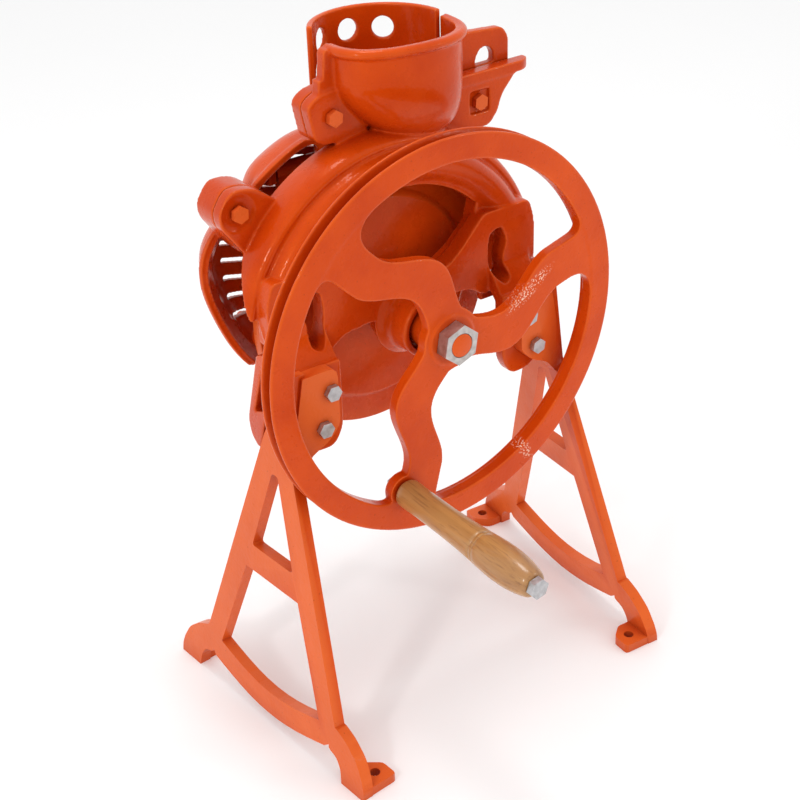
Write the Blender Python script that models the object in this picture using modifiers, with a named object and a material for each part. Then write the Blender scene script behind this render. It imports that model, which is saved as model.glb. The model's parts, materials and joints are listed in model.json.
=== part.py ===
"""Hand-cranked cast-iron corn sheller on two A-shaped legs. Metres, +Z up, front is -Y."""
import math

import bmesh
import bpy
from mathutils import Matrix, Vector

# ---- overall layout -------------------------------------------------------
AXLE_Z = 0.354            # height of the axle above the floor
SPLIT_Y = 0.062           # plane where the front and the rear casting meet
GAP = 0.0003              # play between two pieces that touch
BORE_PLAY = 0.0004        # radial play of a shaft in its bore
ROUND = 64                # facets of a large round piece
SMALL_ROUND = 24          # facets of a bolt or a pin
CRISP_ANGLE = 32.0        # edges sharper than this many degrees stay crisp

# ---- flywheel -------------------------------------------------------------
WHEEL_R = 0.180
WHEEL_FRONT = -0.0495
RIM_WIDTH = 0.016
RIM_INNER = 0.158
GROOVE_DEPTH = 0.010
FLANGE_LIP = 0.0030
SPOKES = 3
SPOKE_FIRST = 15.0        # direction of the first spoke, degrees above +X
SPOKE_WIDTH = 0.0415
SPOKE_TAPER = 0.0025      # each edge comes in by this much towards the rim
SPOKE_SWAY = 0.024        # how far the S bends off the radius
SPOKE_OFFSET = 0.005      # the spoke leaves the hub to one side
SPOKE_BEND_END = 0.118    # radius where the S ends and the spoke runs straight
WINDOW_R = 0.1574
WINDOW_SOFT = (0.013, 0.026)  # how early a window edge bends into the rim, either side
CRANK_BOSS_R = 0.0155
SPOKE_DEPTH = 0.011
HUB_R = 0.024
HUB_BACK_R = 0.019
HUB_BACK = -0.0125
CRANK_X = -0.0532         # handle axis on the wheel
CRANK_Z = AXLE_Z - 0.1317

# ---- axle, bearing, rotor -------------------------------------------------
AXLE_R = 0.0125
AXLE_THREAD_R = 0.0108
AXLE_FRONT = -0.0635
AXLE_BACK = 0.0840
AXLE_STEP = -0.0500       # where the axle thins down to its thread
NUT_FLATS = 0.0320
BARREL_R = 0.0280
BARREL_FRONT = -0.0200
BARREL_BACK = 0.0440
BUSH_R = 0.0177
BUSH_FRONT = -0.0080
BUSH_BACK = 0.0430
ROTOR_R = 0.1230
ROTOR_FRONT = 0.0600
ROTOR_PLATEAU_R = 0.0930
ROTOR_PLATEAU = 0.0540
ROTOR_BACK = 0.0700
ROTOR_HUB_R = 0.0240
ROTOR_HUB_BACK = 0.0830
TOOTH_H = 0.0080
TOOTH_R = 0.0045
TOOTH_RINGS = 3
TOOTH_FIRST_R = 0.0450
TOOTH_PITCH = 0.0270      # distance between two rings and between two teeth
PIN_R = 0.0030

# ---- casing ---------------------------------------------------------------
CASE_R = 0.1560
CASE_WALL = 0.0060
WEB_FRONT = 0.0210
BULGE_FRONT = 0.0140
BAR_FRONT = 0.0110
BACK_IN = 0.1340          # inner face of the rear wall
BACK_OUT = 0.1400
CHUTE_RIM_Y = 0.0840
SHELL_START, SHELL_END = -11.0, 199.0   # the bowl runs around the axle between these directions
LIP_START, LIP_END = 108.0, 198.0       # and carries a thick band on its open edge here
LIP_WIDTH = 0.0120
HOPPER_WALL = 0.0055
HOPPER_BOTTOM = 0.5000    # lowest point of the hopper's front half
HOPPER_STRAIGHT = 0.5600  # its sides are straight above this height
HOPPER_FRONT_Y = 0.0580
HOPPER_TURN = -6.0        # degrees the mouth is turned about the vertical
REAR_RING = (0.0177, 0.0639)     # centre of the round wall of the hopper's rear half
REAR_RING_R = 0.0610
REAR_RING_END = 150.0     # direction where that wall stops short of the front half
HOPPER_TOP_FRONT = 0.5920
HOPPER_TOP_REAR = 0.5970
HOPPER_BEAD = 0.0042
LUG_THICK = 0.0120
SLOT_SLOPE, SLOT_HEIGHT = 0.24, 0.0046
CASE_BOLTS = {"top_left": (-0.0430, 0.5335), "top_right": (0.1115, 0.5105), "left": (-0.1385, 0.4755)}

REAR_SEATS = {"top_left": 0.0760, "top_right": 0.0740, "left": 0.0880}   # back faces of the rear lugs

# ---- legs -----------------------------------------------------------------
LEG_X = 0.1860            # outer face of a leg at the floor
LEG_LEAN = 7.0            # degrees the frame leans inwards
LEG_TOE = 4.4             # degrees the front feet turn inwards
LEG_SHIFT = -0.0028        # keeps the turned frame's tip in line with its flange
LEG_THICK = 0.0110
LEG_SLOPE = 0.335         # how fast the A narrows with height
FOOT_HALF = 0.1390
FOOT_LEN = 0.0297
FOOT_PAD = 0.0270
FOOT_PAD_THICK = 0.0090
FLANGE_FRONT = -0.0230
FLANGE_THICK = 0.0120
PAD_FRONT = FLANGE_FRONT + FLANGE_THICK + GAP
PAD_THICK = 0.0120
LEG_BOLTS = {"upper": (0.1067, 0.3307), "lower": (0.1161, 0.2987)}

# ---- handle, pressure plate, fasteners -------------------------------------
GRIP_LEN = 0.1700
GRIP_BASE_R = 0.0130
GRIP_BULB_R = 0.0168
GRIP_TIP_R = 0.0105
M8_R, M8_FLATS, M8_HEAD, M8_NUT = 0.0040, 0.0130, 0.0053, 0.0065
M10_R, M10_FLATS, M10_HEAD, M10_NUT = 0.0050, 0.0160, 0.0064, 0.0060
PLATE_PIVOT = (0.1220, 0.4680)   # y and z of the hinge pin of the pressure plate
PLATE_X = (-0.060, 0.040)
PLATE_FRONT = 0.1120
PLATE_THICK = 0.0070
SPRING_X, SPRING_Z = -0.0100, 0.3500
SPRING_R, SPRING_WIRE, SPRING_TURNS = 0.0105, 0.0011, 5
CUP_R, CUP_BORE, CUP_OUT = 0.0190, 0.0150, 0.1620

ORANGE = (0.80, 0.14, 0.02, 1.0)
STEEL = (0.55, 0.55, 0.56, 1.0)
WOOD = (0.50, 0.27, 0.09, 1.0)
BRONZE = (0.55, 0.35, 0.14, 1.0)


def clear_scene():
    for obj in list(bpy.data.objects):
        bpy.data.objects.remove(obj, do_unlink=True)


def give_material(obj, color, rough, metal):
    """Finish of a piece; its round sides are shaded smooth and its edges stay crisp."""
    for poly in obj.data.polygons:
        poly.use_smooth = True
    obj.data.set_sharp_from_angle(angle=math.radians(CRISP_ANGLE))
    mat = bpy.data.materials.new(obj.name + "_finish")
    mat.use_nodes = True
    bsdf = mat.node_tree.nodes["Principled BSDF"]
    bsdf.inputs["Base Color"].default_value = color
    bsdf.inputs["Roughness"].default_value = rough
    bsdf.inputs["Metallic"].default_value = metal
    obj.data.materials.clear()
    obj.data.materials.append(mat)


def new_object(name, bm, collection=None):
    bmesh.ops.recalc_face_normals(bm, faces=bm.faces)
    mesh = bpy.data.meshes.new(name)
    bm.to_mesh(mesh)
    bm.free()
    obj = bpy.data.objects.new(name, mesh)
    (collection or bpy.context.scene.collection).objects.link(obj)
    return obj


def as_cutter(obj):
    for holder in list(obj.users_collection):
        holder.objects.unlink(obj)
    CUTTERS.objects.link(obj)
    obj.hide_render = True
    obj.display_type = 'WIRE'
    return obj


def prism(name, outline, axis, low, high):
    """Extrude a closed outline along an axis: 'x' takes (y, z), 'y' takes (x, z), 'z' takes (x, y)."""
    place = {'x': lambda a, b, c: (c, a, b), 'y': lambda a, b, c: (a, c, b), 'z': lambda a, b, c: (a, b, c)}[axis]
    bm = bmesh.new()
    verts = [bm.verts.new(place(a, b, low)) for a, b in outline]
    face = bm.faces.new(verts)
    grown = bmesh.ops.extrude_face_region(bm, geom=[face])
    moved = [item for item in grown["geom"] if isinstance(item, bmesh.types.BMVert)]
    bmesh.ops.translate(bm, verts=moved, vec=Vector(place(0, 0, high - low)))
    return new_object(name, bm)


def lathe(name, profile, axis, center, segments=ROUND, phase=0.0):
    """Turn a (radius, along) profile around an axis parallel to X, Y or Z.

    A profile that starts and ends at radius 0 is capped flat; any other is a closed ring."""
    turn = {
        'x': lambda r, t, h: (h, center[0] + r * math.cos(t), center[1] + r * math.sin(t)),
        'y': lambda r, t, h: (center[0] + r * math.cos(t), h, center[1] + r * math.sin(t)),
        'z': lambda r, t, h: (center[0] + r * math.cos(t), center[1] + r * math.sin(t), h),
    }[axis]
    capped = profile[0][0] == 0
    if capped:
        profile = profile[1:-1]
    bm = bmesh.new()
    rings = [[bm.verts.new(turn(radius, 2 * math.pi * (i + phase) / segments, along)) for i in range(segments)]
             for radius, along in profile]
    pairs = list(zip(rings, rings[1:]))
    if capped:
        bm.faces.new(rings[0])
        bm.faces.new(rings[-1])
    else:
        pairs.append((rings[-1], rings[0]))
    for first, second in pairs:
        for i in range(segments):
            j = (i + 1) % segments
            bm.faces.new((first[i], first[j], second[j], second[i]))
    return new_object(name, bm)


def rod(name, axis, center, low, high, radius, segments=SMALL_ROUND):
    return lathe(name, [(0, low), (radius, low), (radius, high), (0, high)], axis, center, segments, 0.37)


def seat_origin(obj, point):
    """Put the origin of a moving piece on its joint axis."""
    obj.data.transform(Matrix.Translation(-Vector(point)))
    obj.location = point


def block(name, low, high):
    outline = [(low[0], low[1]), (high[0], low[1]), (high[0], high[1]), (low[0], high[1])]
    return prism(name, outline, 'z', low[2], high[2])


def combine(target, other, operation):
    mod = target.modifiers.new(operation.lower() + "_" + other.name, 'BOOLEAN')
    mod.operation = operation
    mod.solver = 'EXACT'
    mod.object = as_cutter(other)


def cut(target, *others):
    for other in others:
        combine(target, other, 'DIFFERENCE')


def add(target, *others):
    for other in others:
        combine(target, other, 'UNION')


def arc(cx, cy, radius, start, end, steps):
    return [(cx + radius * math.cos(math.radians(start + (end - start) * i / steps)),
             cy + radius * math.sin(math.radians(start + (end - start) * i / steps))) for i in range(steps + 1)]


def rounded(corners, radius, steps=4):
    """Round every corner of a polygon; radius is one number or one per corner."""
    count = len(corners)
    out = []
    for i, here in enumerate(corners):
        size = radius[i] if isinstance(radius, (list, tuple)) else radius
        point = Vector(here)
        before, after = Vector(corners[i - 1]) - point, Vector(corners[(i + 1) % count]) - point
        reach = min(size, before.length * 0.45, after.length * 0.45)
        if reach < 1e-6:
            out.append((point.x, point.y))
            continue
        start, end = point + before.normalized() * reach, point + after.normalized() * reach
        for k in range(steps + 1):
            t = k / steps
            spot = start * (1 - t) ** 2 + point * (2 * t * (1 - t)) + end * t ** 2
            out.append((spot.x, spot.y))
    return out


def mirrored(outline, side):
    return [(side * a, b) for a, b in outline]


# ---- fasteners --------------------------------------------------------------
def hexagon(center, flats, spin=0.0):
    reach = flats / math.sqrt(3.0)
    return [(center[0] + reach * math.cos(math.radians(60 * i + spin)),
             center[1] + reach * math.sin(math.radians(60 * i + spin))) for i in range(6)]


def hex_bolt(name, center, face, end, shank_r, flats, head, color=STEEL, spin=10.0):
    """Bolt along Y: head in front of `face`, shank running back to `end`."""
    bolt = prism(name, hexagon(center, flats, spin), 'y', face - head, face - GAP)
    add(bolt, rod(name + "_shank", 'y', center, face - head / 2, end, shank_r))
    give_material(bolt, color, 0.35, 0.9 if color is STEEL else 0.0)
    return bolt


def hex_nut(name, center, low, high, bore_r, flats, color=STEEL, spin=20.0):
    nut = prism(name, hexagon(center, flats, spin), 'y', low, high)
    cut(nut, rod(name + "_thread", 'y', center, low - 0.01, high + 0.01, bore_r))
    give_material(nut, color, 0.4, 0.9 if color is STEEL else 0.0)
    return nut


# ---- flywheel ----------------------------------------------------------------
def spoke_point(direction, along, side):
    """A point on one edge of a spoke (side is -1 or 1), `along` the radius from the axle."""
    reach = min(along / SPOKE_BEND_END, 1.0)
    bend = -SPOKE_SWAY * math.sin(math.pi * reach) ** 2 - SPOKE_OFFSET * (1.0 - reach)
    across = bend + side * (SPOKE_WIDTH / 2 - SPOKE_TAPER * reach)
    turn = math.radians(direction)
    return (along * math.cos(turn) - across * math.sin(turn), along * math.sin(turn) + across * math.cos(turn))


def polar(point):
    return math.hypot(point[0], point[1]), math.degrees(math.atan2(point[1], point[0]))


def softened(first, second, reach, steps):
    """Join two lines whose ends meet in a corner by a soft curve that starts `reach` before it."""
    corner = Vector(first[-1]).lerp(Vector(second[0]), 0.5)
    lead = [p for p in first if (Vector(p) - corner).length > reach]
    tail = [p for p in second if (Vector(p) - corner).length > reach]
    start, end = Vector(lead[-1]), Vector(tail[0])
    curve = []
    for k in range(1, steps):
        t = k / steps
        spot = start * (1 - t) ** 2 + corner * (2 * t * (1 - t)) + end * t ** 2
        curve.append((spot.x, spot.y))
    return lead + curve + tail


def window_outline(first, second):
    """Opening between two spokes; `first` lies clockwise of `second`."""
    steps = 12
    up = [spoke_point(first, 0.030 + 0.1275 * i / steps, 1) for i in range(steps + 1)]
    down = [spoke_point(second, 0.1575 - 0.1455 * i / steps, -1) for i in range(steps + 1)]
    a0, a1 = polar(up[-1])[1], polar(down[0])[1]
    a1 += 360.0 if a1 < a0 else 0.0
    rim = arc(0, 0, WINDOW_R, a0, a1, 14)
    b0, b1 = polar(down[-1])[1], polar(up[0])[1]
    b0 += 360.0 if b0 < b1 else 0.0
    hub = arc(0, 0, HUB_R + 0.0045, b0 - 8.0, b1 + 8.0, 4)
    outer = softened(softened(up, rim, WINDOW_SOFT[0], 4), down, WINDOW_SOFT[1], 4)
    return [(x, z + AXLE_Z) for x, z in outer + hub]


def build_flywheel():
    front, back = WHEEL_FRONT, WHEEL_FRONT + RIM_WIDTH
    web_front, web_back = front + 0.0005, front + SPOKE_DEPTH
    groove_r, groove_y = WHEEL_R - GROOVE_DEPTH, (front + back) / 2
    thin, wide = AXLE_THREAD_R + BORE_PLAY, AXLE_R + BORE_PLAY
    shape = [(thin, front - 0.001), (HUB_R - 0.001, front - 0.001), (HUB_R, front), (HUB_R, web_front),
             (RIM_INNER - 0.0015, web_front), (RIM_INNER, front), (WHEEL_R - 0.001, front),
             (WHEEL_R, front + 0.001), (WHEEL_R, front + FLANGE_LIP), (groove_r, groove_y - 0.0015),
             (groove_r, groove_y + 0.0015), (WHEEL_R, back - FLANGE_LIP), (WHEEL_R, back - 0.001),
             (WHEEL_R - 0.001, back), (RIM_INNER, back), (RIM_INNER, web_back), (HUB_R, web_back),
             (HUB_R, web_back + 0.004), (HUB_BACK_R, web_back + 0.009), (HUB_BACK_R, HUB_BACK),
             (wide, HUB_BACK), (wide, AXLE_STEP + 0.004), (thin, AXLE_STEP + 0.004)]
    wheel = lathe("flywheel", shape, 'y', (0, AXLE_Z), 72)
    for k in range(SPOKES):
        first = SPOKE_FIRST + k * 360.0 / SPOKES
        outline = window_outline(first, first + 360.0 / SPOKES)
        cut(wheel, prism("flywheel_window_%d" % k, outline, 'y', front - 0.01, back + 0.01))
    add(wheel, rod("flywheel_crank_boss", 'y', (CRANK_X, CRANK_Z), web_front + 0.0002, web_back - 0.0002, CRANK_BOSS_R))
    cut(wheel, rod("flywheel_crank_hole", 'y', (CRANK_X, CRANK_Z), -0.1, 0.0, M10_R + BORE_PLAY),
        block("flywheel_keyway", (-0.0031, -0.040, AXLE_Z + 0.008), (0.0031, HUB_BACK + 0.01, AXLE_Z + 0.0155)))
    seat_origin(wheel, (0, 0, AXLE_Z))
    give_material(wheel, ORANGE, 0.28, 0.0)
    key = block("flywheel_key", (-0.0028, -0.0395, AXLE_Z + 0.0093), (0.0028, HUB_BACK, AXLE_Z + 0.0152))
    seat_origin(key, (0, 0, AXLE_Z))
    give_material(key, STEEL, 0.4, 0.9)


def build_axle():
    axle = lathe("axle", [(0, AXLE_FRONT), (AXLE_THREAD_R - 0.001, AXLE_FRONT), (AXLE_THREAD_R, AXLE_FRONT + 0.001),
                          (AXLE_THREAD_R, AXLE_STEP + 0.0045), (AXLE_R, AXLE_STEP + 0.0045),
                          (AXLE_R, AXLE_BACK - 0.001), (AXLE_R - 0.001, AXLE_BACK), (0, AXLE_BACK)],
                 'y', (0, AXLE_Z), 32)
    cut(axle, block("axle_keyway", (-0.0031, -0.040, AXLE_Z + 0.009), (0.0031, HUB_BACK + 0.0003, AXLE_Z + 0.02)),
        rod("axle_pin_hole", 'x', ((ROTOR_BACK + ROTOR_HUB_BACK) / 2, AXLE_Z), -0.05, 0.05, PIN_R + GAP, 16))
    seat_origin(axle, (0, 0, AXLE_Z))
    give_material(axle, STEEL, 0.35, 0.9)
    face = WHEEL_FRONT - 0.001
    nut = prism("axle_nut", hexagon((0, AXLE_Z), NUT_FLATS, 20.0), 'y', face - 0.0125, face - GAP)
    cut(nut, rod("axle_nut_thread", 'y', (0, AXLE_Z), face - 0.03, face + 0.01, AXLE_THREAD_R + GAP, 32))
    seat_origin(nut, (0, 0, AXLE_Z))
    give_material(nut, STEEL, 0.4, 0.9)
    bush = lathe("front_bush", [(AXLE_R + BORE_PLAY, BUSH_FRONT), (BUSH_R, BUSH_FRONT), (BUSH_R, BUSH_BACK),
                                (AXLE_R + BORE_PLAY, BUSH_BACK)], 'y', (0, AXLE_Z), 32)
    give_material(bush, BRONZE, 0.4, 0.8)


# ---- rotor --------------------------------------------------------------------
def build_rotor():
    edge, bore = 0.0015, AXLE_R + BORE_PLAY
    profile = [(bore, BARREL_BACK + 0.003), (ROTOR_HUB_R, BARREL_BACK + 0.003), (ROTOR_HUB_R + 0.002, ROTOR_PLATEAU),
               (ROTOR_PLATEAU_R, ROTOR_PLATEAU), (ROTOR_PLATEAU_R + 0.006, ROTOR_FRONT),
               (ROTOR_R - edge, ROTOR_FRONT), (ROTOR_R, ROTOR_FRONT + edge), (ROTOR_R, ROTOR_BACK),
               (ROTOR_HUB_R + 0.002, ROTOR_BACK), (ROTOR_HUB_R, ROTOR_HUB_BACK), (bore, ROTOR_HUB_BACK)]
    rotor = lathe("rotor_disc", profile, 'y', (0, AXLE_Z), 60)
    bm = bmesh.new()
    for ring in range(TOOTH_RINGS):
        radius = TOOTH_FIRST_R + ring * TOOTH_PITCH
        count = int(2 * math.pi * radius / (TOOTH_PITCH * 1.05))
        for k in range(count):
            turn = 2 * math.pi * (k + 0.5 * (ring % 2)) / count
            spot = Vector((radius * math.cos(turn), ROTOR_BACK + TOOTH_H / 2 - 0.0005,
                           AXLE_Z + radius * math.sin(turn)))
            bmesh.ops.create_cone(bm, cap_ends=True, segments=5, radius1=TOOTH_R, radius2=TOOTH_R * 0.35,
                                  depth=TOOTH_H + 0.001,
                                  matrix=Matrix.Translation(spot) @ Matrix.Rotation(-math.pi / 2, 4, 'X'))
    add(rotor, new_object("rotor_teeth", bm))
    pin_y = (ROTOR_BACK + ROTOR_HUB_BACK) / 2
    cut(rotor, rod("rotor_pin_hole", 'x', (pin_y, AXLE_Z), -0.04, 0.04, PIN_R + GAP, 16))
    seat_origin(rotor, (0, 0, AXLE_Z))
    give_material(rotor, ORANGE, 0.3, 0.0)
    pin = rod("rotor_pin", 'x', (pin_y, AXLE_Z), -0.0235, 0.0235, PIN_R, 16)
    seat_origin(pin, (0, 0, AXLE_Z))
    give_material(pin, STEEL, 0.35, 0.9)


# ---- castings -------------------------------------------------------------------
def kidney(side, y0, y1, name):
    """Bean-shaped hole in one arm of the front casting."""
    shape = rounded([(0.090, 0.404), (0.104, 0.408), (0.110, 0.392), (0.104, 0.376), (0.107, 0.360),
                     (0.098, 0.356), (0.090, 0.366), (0.088, 0.386)], 0.006, 3)
    return prism(name, mirrored(shape, side), 'y', y0, y1)


def lug_outlines():
    """Ears that the casing bolts go through, the same on both castings."""
    return {
        "top_left": rounded([(-0.067, 0.547), (-0.061, 0.517), (-0.052, 0.511), (-0.008, 0.511), (-0.014, 0.545),
                             (-0.030, 0.557), (-0.055, 0.555)],
                            [0.006, 0.004, 0.005, 0, 0.004, 0.008, 0.010], 3),
        "top_right": rounded([(0.068, 0.487), (0.122, 0.4865), (0.132, 0.498), (0.136, 0.511), (0.152, 0.5285),
                              (0.152, 0.5310), (0.068, 0.5310)], [0, 0.006, 0.005, 0.010, 0.003, 0, 0], 3),
        "left": rounded([(-0.156, 0.478), (-0.155, 0.466), (-0.143, 0.449), (-0.132, 0.434), (-0.110, 0.425),
                         (-0.100, 0.476), (-0.122, 0.493), (-0.144, 0.496)],
                        [0.008, 0.006, 0.004, 0.004, 0, 0, 0.008, 0.014], 3),
    }


def half_moon(steps):
    """Outline of the window above the arms of the front casting."""
    side = [(-0.043, 0.386), (-0.060, 0.396), (-0.079, 0.414), (-0.085, 0.438)]
    top = [(x, z + AXLE_Z) for x, z in reversed(arc(0, 0, 0.114, 44, 136, steps))]
    return side + top + [(-x, z) for x, z in reversed(side)]


def grown(outline, reach):
    """The same closed outline moved outwards by a distance."""
    count = len(outline)
    area = sum(outline[i - 1][0] * outline[i][1] - outline[i][0] * outline[i - 1][1] for i in range(count))
    turn = 1.0 if area > 0 else -1.0
    out = []
    for i in range(count):
        (ax, ay), (bx, by) = outline[i - 1], outline[(i + 1) % count]
        along = Vector((bx - ax, by - ay)).normalized()
        out.append((outline[i][0] + turn * along.y * reach, outline[i][1] - turn * along.x * reach))
    return out


def hopper_section(height, inset, count):
    """Plan of the hopper's front half at a height: straight above, drawn in to a rounded bottom below."""
    t = min(max((height - HOPPER_BOTTOM) / (HOPPER_STRAIGHT - HOPPER_BOTTOM), 0.0), 1.0)
    left = 0.016 - 0.054 * (1.0 - (1.0 - t) ** 1.6) + inset
    right = 0.070 + 0.0125 * (1.0 - (1.0 - t) ** 4) - inset
    reach = 0.022 + 0.026 * (1.0 - (1.0 - t) ** 3) - inset
    middle, half, turn = (left + right) / 2, (right - left) / 2, math.radians(HOPPER_TURN)
    out = []
    for k in range(count):
        angle = 2 * math.pi * (k + 0.5) / count
        c, s = math.cos(angle), math.sin(angle)
        x = half * math.copysign(abs(c) ** 0.8, c)
        y = reach * math.copysign(abs(s) ** 0.8, s)
        out.append((middle + x * math.cos(turn) - y * math.sin(turn),
                    HOPPER_FRONT_Y + x * math.sin(turn) + y * math.cos(turn)))
    return out


def hopper_body(name, inset, low, high, rings, count):
    heights = [low + (HOPPER_STRAIGHT - low) * (i / rings) ** 1.4 for i in range(rings + 1)] + [high]
    bm = bmesh.new()
    loops = [[bm.verts.new((x, y, z)) for x, y in hopper_section(z, inset, count)] for z in heights]
    bm.faces.new(loops[0])
    bm.faces.new(loops[-1])
    for first, second in zip(loops, loops[1:]):
        for i in range(count):
            j = (i + 1) % count
            bm.faces.new((first[i], first[j], second[j], second[i]))
    return new_object(name, bm)


def hopper_bead(name, count, sides_round):
    """Rolled rim around the mouth of the front half."""
    bm = bmesh.new()
    loops = []
    for k in range(sides_round):
        angle = 2 * math.pi * (k + 0.5) / sides_round
        inset, rise = -HOPPER_BEAD * math.cos(angle), HOPPER_BEAD * math.sin(angle)
        loops.append([bm.verts.new((x, y, HOPPER_TOP_FRONT - HOPPER_BEAD + rise))
                      for x, y in hopper_section(HOPPER_TOP_FRONT, inset, count)])
    for k in range(sides_round):
        first, second = loops[k], loops[(k + 1) % sides_round]
        for i in range(count):
            j = (i + 1) % count
            bm.faces.new((first[i], first[j], second[j], second[i]))
    return new_object(name, bm)


def shell_radius(turn):
    """Outline of the rear casting around the axle; it swells on the left into the cob chute."""
    step = 0.004 / (1.0 + math.exp(-(turn - 103.0) / 2.0))
    swell = 0.015 * math.exp(-((turn - 154.0) / 16.0) ** 2)
    shrink = 0.0054 * math.log(1.0 + math.exp((turn - 162.0) / 6.0))
    return CASE_R + step + swell - shrink


def shell_rim(turn):
    """How far forward the side wall of the rear casting comes."""
    open_left = 1.0 / (1.0 + math.exp(-(turn - 104.0) / 1.5))
    return (SPLIT_Y - 0.001) * (1 - open_left) + CHUTE_RIM_Y * open_left


def rim_lip(name, steps):
    """Thick band around the open edge of the rear casting, from the hopper down to the end of the chute."""
    bm = bmesh.new()
    rings = []
    for i in range(steps + 1):
        turn = LIP_START + (LIP_END - LIP_START) * i / steps
        outer = shell_radius(turn) + 0.0006
        angle = math.radians(turn)
        rings.append([bm.verts.new((r * math.cos(angle), y, AXLE_Z + r * math.sin(angle)))
                      for r, y in ((outer - LIP_WIDTH, CHUTE_RIM_Y - 0.0006), (outer, CHUTE_RIM_Y - 0.0006),
                                   (outer, CHUTE_RIM_Y + 0.0050), (outer - LIP_WIDTH, CHUTE_RIM_Y + 0.0050))])
    for first, second in zip(rings, rings[1:]):
        for k in range(4):
            bm.faces.new((first[k], first[(k + 1) % 4], second[(k + 1) % 4], second[k]))
    bm.faces.new(rings[0])
    bm.faces.new(rings[-1])
    return new_object(name, bm)


def grate_slots():
    """Slanted slots of the grate in the rear wall: (x from, x to, height at the left end, y from, y to)."""
    slots = [(-0.1135, -0.0850, 0.4120 - 0.0167 * k, 0.095, 0.16) for k in range(5)]
    slots += [(-0.0200 - 0.0152 * k, 0.0110 - 0.0140 * k, 0.4805 - 0.0088 * k, 0.095, 0.16) for k in range(4)]
    slots += [(0.1080 + 0.010 * k, 0.1500 + 0.005 * k, 0.4300 - 0.0160 * k, 0.098, 0.16) for k in range(2)]
    return slots


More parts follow.
